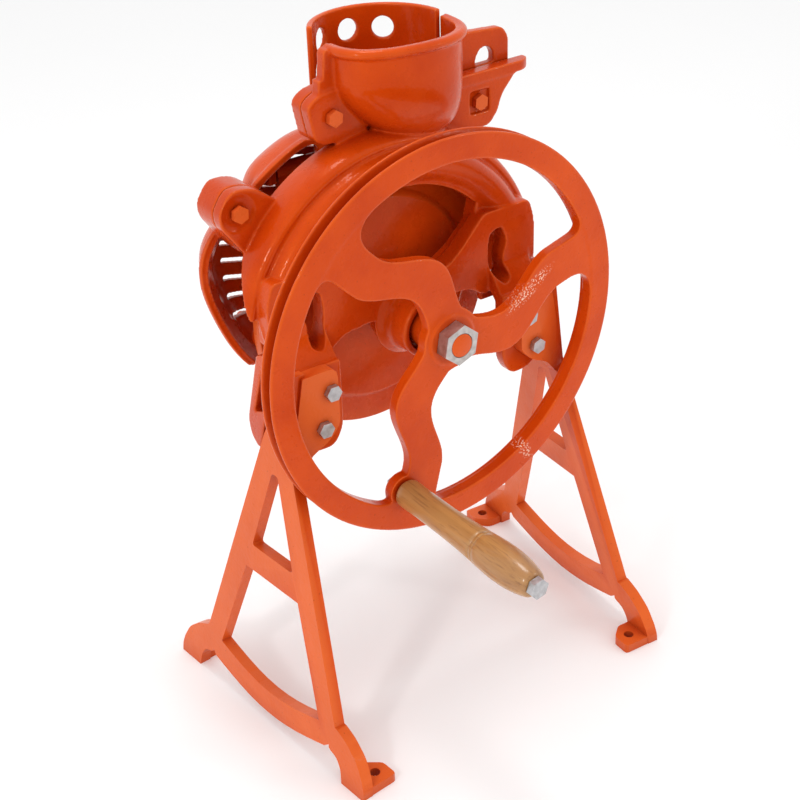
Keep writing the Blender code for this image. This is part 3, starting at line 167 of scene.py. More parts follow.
def cast(obj, voxel, rounds):
    """Give a piece the softened edges of a painted sand casting."""
    mod = obj.modifiers.new("skin", 'REMESH')
    mod.mode = 'VOXEL'
    mod.voxel_size = voxel
    mod.use_smooth_shade = True
    soft = obj.modifiers.new("soft", 'SMOOTH')
    soft.factor = 0.5
    soft.iterations = rounds
    bake(obj)
    for poly in obj.data.polygons:
        poly.use_smooth = True
    return obj


def arc(cx, cy, radius, start, end, steps):
    angles = [math.radians(start + (end - start) * i / steps) for i in range(steps + 1)]
    return [(cx + radius * math.cos(angle), cy + radius * math.sin(angle)) for angle in angles]


def rounded(corners, radius, steps=8):
    """Closed outline with its corners rounded; radius is one size or a list with one size for each corner."""
    count = len(corners)
    out = []
    for i, here in enumerate(corners):
        size = radius[i] if isinstance(radius, (list, tuple)) else radius
        point = Vector(here)
        before, after = Vector(corners[i - 1]) - point, Vector(corners[(i + 1) % count]) - point
        reach = min(size, before.length * 0.45, after.length * 0.45)
        if reach < 1e-6:
            out.append((point.x, point.y))
            continue
        start, end = point + before.normalized() * reach, point + after.normalized() * reach
        for k in range(steps + 1):
            t = k / steps
            spot = start * (1 - t) ** 2 + point * (2 * t * (1 - t)) + end * t ** 2
            out.append((spot.x, spot.y))
    return out


def mirrored(outline, side):
    """The outline itself for side 1, its mirror image for side -1."""
    return [(side * a, b) for a, b in outline]


def sides(side, a, b):
    """Low and high end of a range on the right (1) or the left (-1)."""
    return min(side * a, side * b), max(side * a, side * b)


# ---- materials ------------------------------------------------------------------------------
class Paint:
    """A node material under construction."""

    def __init__(self, name):
        self.mat = bpy.data.materials.new(name)
        self.mat.use_nodes = True
        self.tree = self.mat.node_tree
        self.bsdf = self.tree.nodes["Principled BSDF"]
        coord = self.tree.nodes.new("ShaderNodeTexCoord")
        self.place = coord.outputs["Object"]

    def node(self, kind, **values):
        made = self.tree.nodes.new("ShaderNode" + kind)
        for key, value in values.items():
            key = key.replace("_", " ")
            target = next((s for s in made.inputs if s.name.lower() == key.lower()), None)
            if isinstance(value, bpy.types.NodeSocket):
                self.tree.links.new(value, target)
            else:
                target.default_value = value
        return made

    def noise(self, scale, detail=3.0, rough=0.5, where=None):
        made = self.node("TexNoise", Scale=scale, Detail=detail, Roughness=rough)
        self.tree.links.new(where or self.place, made.inputs["Vector"])
        return made.outputs["Fac"]

    def remap(self, fac, low, high, a=0.0, b=1.0):
        made = self.tree.nodes.new("ShaderNodeMapRange")
        for name, value in (("From Min", low), ("From Max", high), ("To Min", a), ("To Max", b)):
            made.inputs[name].default_value = value
        self.tree.links.new(fac, made.inputs["Value"])
        return made.outputs["Result"]

    def mix(self, fac, a, b):
        made = self.tree.nodes.new("ShaderNodeMix")
        made.data_type = 'RGBA'
        for index, value in ((0, fac), (6, a), (7, b)):
            if isinstance(value, bpy.types.NodeSocket):
                self.tree.links.new(value, made.inputs[index])
            else:
                made.inputs[index].default_value = value
        return made.outputs[2]

    def math(self, kind, a, b):
        made = self.tree.nodes.new("ShaderNodeMath")
        made.operation = kind
        for index, value in enumerate((a, b)):
            if isinstance(value, bpy.types.NodeSocket):
                self.tree.links.new(value, made.inputs[index])
            else:
                made.inputs[index].default_value = value
        return made.outputs[0]

    def set(self, name, value):
        target = self.bsdf.inputs[name]
        if isinstance(value, bpy.types.NodeSocket):
            self.tree.links.new(value, target)
        else:
            target.default_value = value

    def zone(self, spot, turn):
        """Soft mask around a spot of the object, long along a direction in its XZ plane."""
        frame_map = self.tree.nodes.new("ShaderNodeMapping")
        frame_map.vector_type = 'TEXTURE'
        frame_map.inputs["Location"].default_value = spot
        frame_map.inputs["Rotation"].default_value = (0.0, -math.radians(turn), 0.0)
        frame_map.inputs["Scale"].default_value = (0.034, 0.02, 0.0075)
        self.tree.links.new(self.place, frame_map.inputs["Vector"])
        reach = self.tree.nodes.new("ShaderNodeVectorMath")
        reach.operation = 'LENGTH'
        self.tree.links.new(frame_map.outputs[0], reach.inputs[0])
        return self.remap(reach.outputs["Value"], 0.55, 1.0, 0.85, 0.0)

    def bump(self, height, strength, distance, below=None):
        made = self.node("Bump", Strength=strength, Distance=distance, Height=height)
        if below is not None:
            self.tree.links.new(below, made.inputs["Normal"])
        return made.outputs["Normal"]


def enamel(name, peel=0.35, dull=0.0, seed=0.0, painted_glints=()):
    """Thick glossy orange enamel on a rough casting; painted shade makes it deep red where little light
    reaches, painted highlights lighten its edges, and painted glints can be added.
    """
    p = Paint(name)
    shift = p.tree.nodes.new("ShaderNodeVectorMath")
    shift.operation = 'ADD'
    shift.inputs[1].default_value = (seed, seed * 0.7, seed * 1.3)
    p.tree.links.new(p.place, shift.inputs[0])
    here = shift.outputs[0]
    broad = p.noise(11.0, 4.0, 0.6, here)
    color = p.mix(p.remap(broad, 0.34, 0.66), (0.54, 0.043, 0.0015, 1), (0.67, 0.071, 0.0030, 1))
    # painted highlight: convex edges, found by pointiness, get the lit orange tone
    geo = p.tree.nodes.new("ShaderNodeNewGeometry")
    edge = p.remap(geo.outputs["Pointiness"], 0.505, 0.57, 0.0, 0.55)
    color = p.mix(edge, color, (0.84, 0.17, 0.035, 1))
    # painted shade: deep red where the ambient occlusion finds crevices and corners
    ao = p.node("AmbientOcclusion", Distance=0.035)
    painted_crevice_shade = p.remap(ao.outputs["AO"], 0.20, 0.90, 0.65, 0.0)
    color = p.mix(painted_crevice_shade, color, (0.30, 0.009, 0.0006, 1))
    specks = p.remap(p.noise(420.0, 2.0, 0.6, here), 0.68, 0.76, 0.0, 0.55)
    color = p.mix(specks, color, (0.27, 0.022, 0.005, 1))
    # painted highlight: pale cream glint specks inside each zone
    for spot, turn in painted_glints:
        painted_glint = p.remap(p.noise(520.0, 2.0, 0.6, here), 0.54, 0.60, 0.0, 0.85)
        color = p.mix(p.math('MULTIPLY', painted_glint, p.zone(spot, turn)), color, (1.0, 0.80, 0.62, 1))
    p.set("Base Color", color)
    p.set("Roughness", p.remap(p.noise(60.0, 3.0, 0.6, here), 0.3, 0.7, 0.22 + dull, 0.36 + dull))
    p.set("Coat Weight", 0.17)
    p.set("Coat Roughness", p.remap(p.noise(35.0, 2.0, 0.5, here), 0.3, 0.7, 0.03, 0.10))
    p.set("Specular IOR Level", 0.40)
    p.set("Specular Tint", (1.0, 0.30, 0.06, 1.0))
    waves = p.bump(p.noise(36.0, 2.0, 0.5, here), 0.5, 0.0010)
    fine = p.bump(p.noise(300.0, 2.0, 0.5, here), peel, 0.0006, waves)
    p.set("Normal", fine)
    p.set("Coat Normal", fine)
    return p.mat


def zinc(name, warm=0.0):
    """Dull plated steel with brown stains."""
    p = Paint(name)
    cloud = p.noise(160.0, 4.0, 0.6)
    color = p.mix(p.remap(cloud, 0.3, 0.7), (0.36 + warm, 0.35, 0.36 - warm, 1),
                  (0.58 + warm, 0.57, 0.58 - warm, 1))
    stain = p.remap(p.noise(45.0, 3.0, 0.6), 0.55, 0.75, 0.0, 0.6)
    p.set("Base Color", p.mix(stain, color, (0.22, 0.14, 0.09, 1)))
    p.set("Metallic", 0.85)
    p.set("Roughness", p.remap(cloud, 0.3, 0.7, 0.28, 0.48))
    p.set("Normal", p.bump(p.noise(500.0, 3.0, 0.6), 0.3, 0.0003))
    return p.mat


def bronze(name):
    p = Paint(name)
    cloud = p.noise(120.0, 3.0, 0.6)
    p.set("Base Color", p.mix(cloud, (0.35, 0.20, 0.07, 1), (0.62, 0.38, 0.14, 1)))
    p.set("Metallic", 0.8)
    p.set("Roughness", p.remap(cloud, 0.3, 0.7, 0.3, 0.5))
    p.set("Normal", p.bump(p.noise(400.0), 0.2, 0.0002))
    return p.mat


def wood(name):
    """Varnished wood, the grain runs along Y."""
    p = Paint(name)
    stretch = p.tree.nodes.new("ShaderNodeMapping")
    stretch.inputs["Scale"].default_value = (1.0, 0.07, 1.0)
    p.tree.links.new(p.place, stretch.inputs["Vector"])
    grain = p.noise(420.0, 5.0, 0.62, stretch.outputs[0])
    bands = p.noise(90.0, 3.0, 0.5, stretch.outputs[0])
    color = p.mix(p.remap(bands, 0.3, 0.7), (0.36, 0.155, 0.040, 1), (0.52, 0.26, 0.080, 1))
    color = p.mix(p.remap(grain, 0.52, 0.72, 0.0, 0.7), color, (0.21, 0.080, 0.022, 1))
    p.set("Base Color", color)
    p.set("Roughness", p.remap(grain, 0.3, 0.7, 0.30, 0.45))
    p.set("Coat Weight", 0.5)
    p.set("Coat Roughness", 0.15)
    p.set("Normal", p.bump(grain, 0.25, 0.0003))
    return p.mat


# painted highlights: sparkling glint patches on the front of the wheel: place and direction of their long
# side in degrees
PAINTED_GLINTS = (((0.086, WHEEL_FRONT, 0.3740), 34.0), ((0.0750, WHEEL_FRONT, 0.2240), -60.0))
ENAMEL = {"case": enamel("enamel_case", 0.30, 0.0, 0.0),
          "wheel": enamel("enamel_wheel", 0.42, 0.02, 3.1, PAINTED_GLINTS),
          "legs": enamel("enamel_legs", 0.30, 0.06, 7.7)}
ZINC = zinc("zinc")
OLD_STEEL = zinc("old_steel", 0.03)
BRONZE = bronze("bronze")
WOOD = wood("varnished_wood")


def finish_piece(obj, material, body, *nodes):
    """Paint a piece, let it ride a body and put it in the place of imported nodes."""
    obj.data.materials.clear()
    obj.data.materials.append(material)
    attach(obj, body)
    if nodes:
        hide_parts(*nodes)
    return obj


# ---- flywheel ----------------------------------------------------------------------------------
def spoke_point(direction, along, side):
    """Point on the edge of an S-shaped spoke, around the axle."""
    reach = min(along / SPOKE_LENGTH, 1.0)
    bend = -0.024 * math.sin(math.pi * reach) ** 2 - 0.005 * (1.0 - reach)
    across = bend + side * (0.02075 - 0.0025 * reach)
    turn = math.radians(direction)
    c, s = math.cos(turn), math.sin(turn)
    return along * c - across * s, along * s + across * c


def polar(point):
    """Radius and direction in degrees of a point."""
    return math.hypot(point[0], point[1]), math.degrees(math.atan2(point[1], point[0]))


def softened(first, second, reach, steps):
    """Join two lines whose ends meet in a corner by a soft curve that starts `reach` before it."""
    corner = Vector(first[-1]).lerp(Vector(second[0]), 0.5)
    lead = [p for p in first if (Vector(p) - corner).length > reach]
    tail = [p for p in second if (Vector(p) - corner).length > reach]
    start, end = Vector(lead[-1]), Vector(tail[0])
    curve = []
    for k in range(1, steps):
        t = k / steps
        spot = start * (1 - t) ** 2 + corner * (2 * t * (1 - t)) + end * t ** 2
        curve.append((spot.x, spot.y))
    return lead + curve + tail


def window_outline(first, second):
    """Opening between two spokes; `first` lies clockwise of `second`."""
    steps = 44
    up = [spoke_point(first, 0.030 + 0.1275 * i / steps, 1) for i in range(steps + 1)]
    down = [spoke_point(second, 0.1575 - 0.1455 * i / steps, -1) for i in range(steps + 1)]
    a0, a1 = polar(up[-1])[1], polar(down[0])[1]
    a1 += 360.0 if a1 < a0 else 0.0
    rim = arc(0, 0, WINDOW_R, a0, a1, 60)
    b0, b1 = polar(down[-1])[1], polar(up[0])[1]
    b0 += 360.0 if b0 < b1 else 0.0
    hub = arc(0, 0, HUB_R + 0.0045, b0 - 8.0, b1 + 8.0, 10)
    outer = softened(softened(up, rim, WINDOW_SOFT[0], 14), down, WINDOW_SOFT[1], 14)
    return [(x, z + AXLE_Z) for x, z in outer + hub]


def build_flywheel():
    """Wheel with a belt groove in its rim, three S-shaped spokes, hub and crank boss."""
    front, back = WHEEL_FRONT, WHEEL_FRONT + RIM_WIDTH
    web_front, web_back = front + 0.0004, front + 0.011
    middle = (front + back) / 2
    shape = [(0.0115, front - 0.0008), (0.0225, front - 0.0008), (0.0240, front + 0.0004), (0.026, web_front),
             (RIM_INNER - 0.001, web_front), (RIM_INNER + 0.001, front), (WHEEL_R - 0.0008, front),
             (WHEEL_R, front + 0.0008), (WHEEL_R, front + 0.0026), (WHEEL_R - 0.011, middle - 0.0016),
             (WHEEL_R - 0.012, middle), (WHEEL_R - 0.011, middle + 0.0016),
             (WHEEL_R, back - 0.0026), (WHEEL_R, back - 0.0008), (WHEEL_R - 0.0008, back),
             (RIM_INNER + 0.001, back), (RIM_INNER, back - 0.001), (RIM_INNER, web_back), (0.024, web_back),
             (0.024, web_back + 0.004), (0.019, web_back + 0.009), (0.019, -0.0125),
             (SHAFT_BORE_R, -0.0125), (SHAFT_BORE_R, -0.046), (0.0115, -0.046)]
    wheel = lathe("wheel_detail", shape, 'y', (0, AXLE_Z), 288)
    pitch = 360.0 / SPOKES
    for k in range(SPOKES):
        outline = window_outline(FIRST_SPOKE + pitch * k, FIRST_SPOKE + pitch * (k + 1))
        cut(wheel, prism("window", outline, 'y', front - 0.01, back + 0.01))
    add(wheel, rod("boss", 'y', (CRANK_X, CRANK_Z), web_front + 0.0002, web_back - 0.0002, CRANK_BOSS_R, 96))
    cut(wheel, rod("crank_hole", 'y', (CRANK_X, CRANK_Z), -0.1, 0.0, CRANK_HOLE_R),
        block("keyway", (-0.0031, -0.040, AXLE_Z + 0.008), (0.0031, 0.0, AXLE_Z + 0.0155)))
    cast(wheel, WHEEL_VOXEL, 6)
    finish_piece(wheel, ENAMEL["wheel"], "wheel_set", "flywheel")


# ---- castings -----------------------------------------------------------------------------------
def kidney(side):
    """Bean-shaped hole in one arm of the front casting."""
    shape = rounded([(0.090, 0.404), (0.104, 0.408), (0.110, 0.392), (0.104, 0.376), (0.107, 0.360),
                     (0.098, 0.356), (0.090, 0.366), (0.088, 0.386)], 0.006)
    return prism("kidney", mirrored(shape, side), 'y', -0.03, WEB_FRONT + 0.02)


def lug_outlines():
    """Ears that the casing bolts go through, the same on both castings."""
    return {
        "top_left": rounded([(-0.067, 0.547), (-0.061, 0.517), (-0.052, 0.511), (-0.008, 0.511),
                             (-0.014, 0.545), (-0.030, 0.557), (-0.055, 0.555)],
                            [0.006, 0.004, 0.005, 0, 0.004, 0.008, 0.010]),
        "top_right": rounded([(0.068, 0.487), (0.122, 0.4865), (0.132, 0.498), (0.136, 0.511),
                              (0.152, 0.5285), (0.152, 0.5310), (0.068, 0.5310)],
                             [0, 0.006, 0.005, 0.010, 0.003, 0, 0]),
        "left": rounded([(-0.156, 0.478), (-0.155, 0.466), (-0.143, 0.449), (-0.132, 0.434), (-0.110, 0.425),
                         (-0.100, 0.476), (-0.122, 0.493), (-0.144, 0.496)],
                        [0.008, 0.006, 0.004, 0.004, 0, 0, 0.008, 0.014]),
    }


def half_moon(steps):
    """Outline of the window above the arms of the front casting."""
    side = [(-0.043, 0.386), (-0.060, 0.396), (-0.079, 0.414), (-0.085, 0.438)]
    top = [(x, z + AXLE_Z) for x, z in reversed(arc(0, 0, 0.114, 44, 136, steps))]
    return side + top + [(-x, z) for x, z in reversed(side)]


def grown(outline, reach):
    """The same closed outline moved outwards by a distance."""
    count = len(outline)
    area = sum(outline[i - 1][0] * outline[i][1] - outline[i][0] * outline[i - 1][1] for i in range(count))
    turn = 1.0 if area > 0 else -1.0
    out = []
    for i in range(count):
        (ax, ay), (bx, by) = outline[i - 1], outline[(i + 1) % count]
        along = Vector((bx - ax, by - ay)).normalized()
        out.append((outline[i][0] + turn * along.y * reach, outline[i][1] - turn * along.x * reach))
    return out


def hopper_section(height, inset, count):
    """Plan of the hopper's front half at a height: straight above, drawn in to a rounded bottom below."""
    t = min(max((height - HOPPER_BOTTOM) / (HOPPER_STRAIGHT - HOPPER_BOTTOM), 0.0), 1.0)
    left = 0.016 - 0.054 * (1.0 - (1.0 - t) ** 1.6) + inset
    right = 0.070 + 0.0125 * (1.0 - (1.0 - t) ** 4) - inset
    reach = 0.022 + 0.026 * (1.0 - (1.0 - t) ** 3) - inset
    middle, half, turn = (left + right) / 2, (right - left) / 2, math.radians(HOPPER_TURN)
    out = []
    for k in range(count):
        angle = 2 * math.pi * (k + 0.5) / count
        c, s = math.cos(angle), math.sin(angle)
        x = half * math.copysign(abs(c) ** 0.8, c)
        y = reach * math.copysign(abs(s) ** 0.8, s)
        out.append((middle + x * math.cos(turn) - y * math.sin(turn),
                    HOPPER_FRONT_Y + x * math.sin(turn) + y * math.cos(turn)))
    return out


def hopper_body(name, inset, low, high, rings, count):
    """Loft through the sections of the front half; inset makes the room inside its wall."""
    heights = [low + (HOPPER_STRAIGHT - low) * (i / rings) ** 1.4 for i in range(rings + 1)] + [high]
    bm = bmesh.new()
    loops = [[bm.verts.new((x, y, z)) for x, y in hopper_section(z, inset, count)] for z in heights]
    bm.faces.new(loops[0])
    bm.faces.new(loops[-1])
    for first, second in zip(loops, loops[1:]):
        for i in range(count):
            j = (i + 1) % count
            bm.faces.new((first[i], first[j], second[j], second[i]))
    return new_object(name, bm)


def hopper_bead(name, count, sides_round):
    """Rolled rim around the mouth of the front half."""
    bm = bmesh.new()
    loops = []
    for k in range(sides_round):
        angle = 2 * math.pi * (k + 0.5) / sides_round
        inset, rise = -HOPPER_BEAD * math.cos(angle), HOPPER_BEAD * math.sin(angle)
        loops.append([bm.verts.new((x, y, HOPPER_TOP_FRONT - HOPPER_BEAD + rise))
                      for x, y in hopper_section(HOPPER_TOP_FRONT, inset, count)])
    for k in range(sides_round):
        first, second = loops[k], loops[(k + 1) % sides_round]
        for i in range(count):
            j = (i + 1) % count
            bm.faces.new((first[i], first[j], second[j], second[i]))
    return new_object(name, bm)


def shell_radius(turn):
    """Outline of the rear casting around the axle; it swells on the left into the cob chute."""
    step = 0.004 / (1.0 + math.exp(-(turn - 103.0) / 2.0))
    swell = 0.015 * math.exp(-((turn - 154.0) / 16.0) ** 2)
    shrink = 0.0054 * math.log(1.0 + math.exp((turn - 162.0) / 6.0))
    return CASE_R + step + swell - shrink


def shell_rim(turn):
    """How far forward the side wall of the rear casting comes."""
    open_left = 1.0 / (1.0 + math.exp(-(turn - 104.0) / 1.5))
    return (SPLIT_Y - 0.001) * (1 - open_left) + CHUTE_RIM_Y * open_left


def shell_tuck(turn):
    """How far the wall of the rear casting leans inwards behind its open left edge."""
    return 0.012 / (1.0 + math.exp(-(turn - 128.0) / 2.0))


def rim_lip(name, steps):
    """Band around the open edge of the rear casting, from the hopper down to the end of the chute."""
    bm = bmesh.new()
    rings = []
    for i in range(steps + 1):
        turn = LIP_START + (LIP_END - LIP_START) * i / steps
        outer = shell_radius(turn) + 0.0006
        angle = math.radians(turn)
        rings.append([bm.verts.new((r * math.cos(angle), y, AXLE_Z + r * math.sin(angle)))
                      for r, y in ((outer - LIP_WIDTH, CHUTE_RIM_Y - 0.0006), (outer, CHUTE_RIM_Y - 0.0006),
                                   (outer, CHUTE_RIM_Y + 0.0050), (outer - LIP_WIDTH, CHUTE_RIM_Y + 0.0050))])
    for first, second in zip(rings, rings[1:]):
        for k in range(4):
            bm.faces.new((first[k], first[(k + 1) % 4], second[(k + 1) % 4], second[k]))
    bm.faces.new(rings[0])
    bm.faces.new(rings[-1])
    return new_object(name, bm)


def grate_slots():
    """Slanted slots of the grate in the rear wall: (x from, x to, height at the left end, y from)."""
    slots = [(-0.1135, -0.0850, 0.4120 - 0.0167 * k, 0.095) for k in range(5)]
    slots += [(-0.0200 - 0.0152 * k, 0.0110 - 0.0140 * k, 0.4805 - 0.0088 * k, 0.095) for k in range(4)]
    slots += [(0.1080 + 0.010 * k, 0.1500 + 0.005 * k, 0.4300 - 0.0160 * k, 0.098) for k in range(2)]
    return slots


def build_front_casting():
    """Cover with window, arms, leg pads, boots, barrel, lugs, tongue and the front half of the hopper."""
    wall = CASE_WALL
    # flat web, ridge, groove, thick rounded edge of the cover, then back along the inside
    shell = [(0, WEB_FRONT), (0.117, WEB_FRONT), (0.1200, 0.0190), (0.1230, 0.0160), (0.1260, 0.0138),
             (0.129, 0.0125), (0.1325, 0.0117), (0.136, 0.0118), (0.1390, 0.0127), (0.1415, 0.0145),
             (0.1437, 0.0168), (0.1455, 0.0198), (0.1466, 0.0235), (0.1480, 0.0262), (0.1497, 0.0258),
             (0.1515, 0.0252), (0.1535, 0.0256), (0.1552, 0.0268), (0.1570, 0.0292), (0.1582, 0.0322),
             (0.1593, 0.0360), (0.1598, 0.0400), (0.1600, 0.0450), (0.1600, 0.0500), (0.1594, 0.0570),
             (0.1585, SPLIT_Y + 0.001), (CASE_R - wall, SPLIT_Y + 0.001), (CASE_R - wall - 0.001, 0.0440),
             (0.1458, 0.0345), (0.1405, 0.0285), (0.129, 0.0225), (0.122, WEB_FRONT + wall),
             (0, WEB_FRONT + wall)]
    front = lathe("front_detail", shell, 'y', (0, AXLE_Z), 288)

    # half-moon window with a lip, open bottom, free left side for the cobs
    moon = half_moon(56)
    below = [(-0.043, 0.3615), (-0.068, 0.360), (-0.086, 0.350), (-0.088, 0.335), (-0.20, 0.335),
             (-0.20, 0.15)]
    below += [(-x, z) for x, z in reversed(below)]
    free = [(0.070, 0.4515), (0.060, 0.4465), (0.037, 0.410), (0.022, 0.382), (0.013, 0.360), (0.013, 0.30),
            (0.1, 0.30), (0.1, 0.4515)]
    add(front, prism("moon_lip", grown(moon, 0.0055), 'y', WEB_FRONT + 0.002, 0.0370))
    cut(front, prism("moon", moon, 'y', -0.02, SPLIT_Y - 0.010),
        prism("below", below, 'y', -0.03, 0.10), prism("cobs", free, 'x', -0.2, -0.1005))

    # cross bar, arms, pads for the legs, boots over their tips
    bar = [(-0.142, 0.372), (-0.142, 0.405), (-0.136, 0.425), (-0.084, 0.425), (-0.077, 0.418),
           (-0.060, 0.400), (-0.045, 0.388), (-0.026, 0.3835)]
    bar += [(-x, z) for x, z in reversed(bar)]
    under = [(0.142, 0.368), (0.084, 0.346), (0.068, 0.357), (0.045, 0.359)]
    bar += under + [(-x, z) for x, z in reversed(under)]
    add(front, prism("bar", rounded(bar, 0.006), 'y', BAR_FRONT, WEB_FRONT + wall + 0.0005))
    ramp = [(BAR_FRONT + 0.001, 0.404), (BAR_FRONT - 0.0005, 0.372), (PAD_FRONT + 0.0006, 0.346),
            (PAD_FRONT + 0.0006, 0.322), (PAD_BACK - 0.0006, 0.322), (PAD_BACK - 0.0006, 0.340),
            (WEB_FRONT + 0.003, 0.364), (WEB_FRONT + 0.003, 0.404)]
    pad = rounded([(0.0880, 0.350), (0.1350, 0.350), (0.1350, 0.300), (0.1240, 0.270), (0.098, 0.268),
                   (0.0880, 0.285)], [0.002, 0.004, 0.010, 0.014, 0.014, 0.012])
    boot = rounded([(-0.0020, 0.3055), (0.0120, 0.3050), (0.0190, 0.2975), (0.0285, 0.2670),
                    (0.0340, 0.2660), (0.0440, 0.2740), (0.0470, 0.2890), (0.0240, 0.3600),
                    (0.0120, 0.3640), (-0.0020, 0.3450)],
                   [0, 0.002, 0.003, 0.002, 0.003, 0.006, 0.006, 0.002, 0, 0])
    pocket = [(0.0030, 0.3140), (0.0350, 0.3010), (0.0170, 0.3480), (0.0030, 0.3500)]
    for side in (-1, 1):
        add(front, prism("ramp", ramp, 'x', *sides(side, 0.0886, 0.1345)),
            prism("pad", mirrored(pad, side), 'y', PAD_FRONT, PAD_BACK))
        cut(front, kidney(side))
        add(front, prism("boot", boot, 'x', *sides(side, 0.1285, 0.1490)))
        cut(front, prism("pocket", pocket, 'x', *sides(side, 0.1360, 0.1600)))

    # bearing barrel with a counterbore for the hub of the wheel
    barrel = [(0, -0.020), (0.0262, -0.020), (0.028, -0.0185), (0.028, 0.000), (0.030, 0.006),
              (0.036, BAR_FRONT + 0.001), (0.031, WEB_FRONT + wall), (0.026, 0.044), (0, 0.044)]
    add(front, lathe("barrel", barrel, 'y', (0, AXLE_Z), 128, 0.5))
    bore = [(0, -0.04), (COUNTERBORE_R, -0.04), (COUNTERBORE_R, -0.009), (BUSH_BORE_R, -0.009),
            (BUSH_BORE_R, 0.07), (0, 0.07)]
    cut(front, lathe("bore", bore, 'y', (0, AXLE_Z), 96, 0.3))

    # front half of the hopper, the flange at its left end, lugs and tongue, then everything that is hollow
    add(front, hopper_body("hopper", 0.0, HOPPER_BOTTOM, HOPPER_TOP_FRONT - 0.0005, 16, 192),
        hopper_bead("bead", 192, 16))
    end_flange = rounded([(-0.0470, 0.5900), (-0.0492, 0.5660), (-0.0535, 0.5655), (-0.0545, 0.5500),
                          (-0.0300, 0.5480), (-0.0330, 0.5900)], [0.004, 0.001, 0.001, 0, 0, 0])
    add(front, prism("end_flange", end_flange, 'y', 0.0515, SPLIT_Y + 0.001))
    for outline in lug_outlines().values():
        add(front, prism("lug", outline, 'y', SPLIT_Y - LUG_THICK, SPLIT_Y + 0.001))
    tongue = rounded([(0.068, 0.0490), (0.160, 0.0490), (0.169, 0.0550), (0.169, SPLIT_Y + 0.001),
                      (0.068, SPLIT_Y + 0.001)], [0, 0.006, 0.004, 0, 0])
    add(front, prism("tongue", tongue, 'z', 0.5285, 0.5380))
    dish = lathe("dish", [(0, 0.030), (0.0190, 0.0485), (0.0140, 0.0512), (0.0100, 0.0520), (0, 0.0520)],
                 'y', CASE_BOLTS["left"], 64)
    cut(front, hopper_body("room", HOPPER_WALL, HOPPER_BOTTOM + 0.0065, 0.62, 16, 160),
        prism("throat", [(0.040, 0.5150), (0.040, 0.5060), (0.070, 0.4900), (0.070, 0.5150)], 'x',
              0.024, 0.060),
        block("half", (-0.3, SPLIT_Y - GAP, 0.2), (0.3, 0.3, 0.7)),
        block("recess", (0.1010, 0.0, 0.5005), (0.1220, SPLIT_Y - LUG_THICK + 0.003, 0.5210)), dish)
    for spot in CASE_BOLTS.values():
        cut(front, rod("hole", 'y', spot, 0.0, 0.1, BOLT_HOLE_R))
    for x, z in LEG_BOLTS.values():
        for side in (-1, 1):
            cut(front, rod("hole", 'y', (side * x, z), -0.05, 0.012, BOLT_HOLE_R))
    cast(front, CAST_VOXEL, 6)
    finish_piece(front, ENAMEL["case"], "stand", "front_casting")


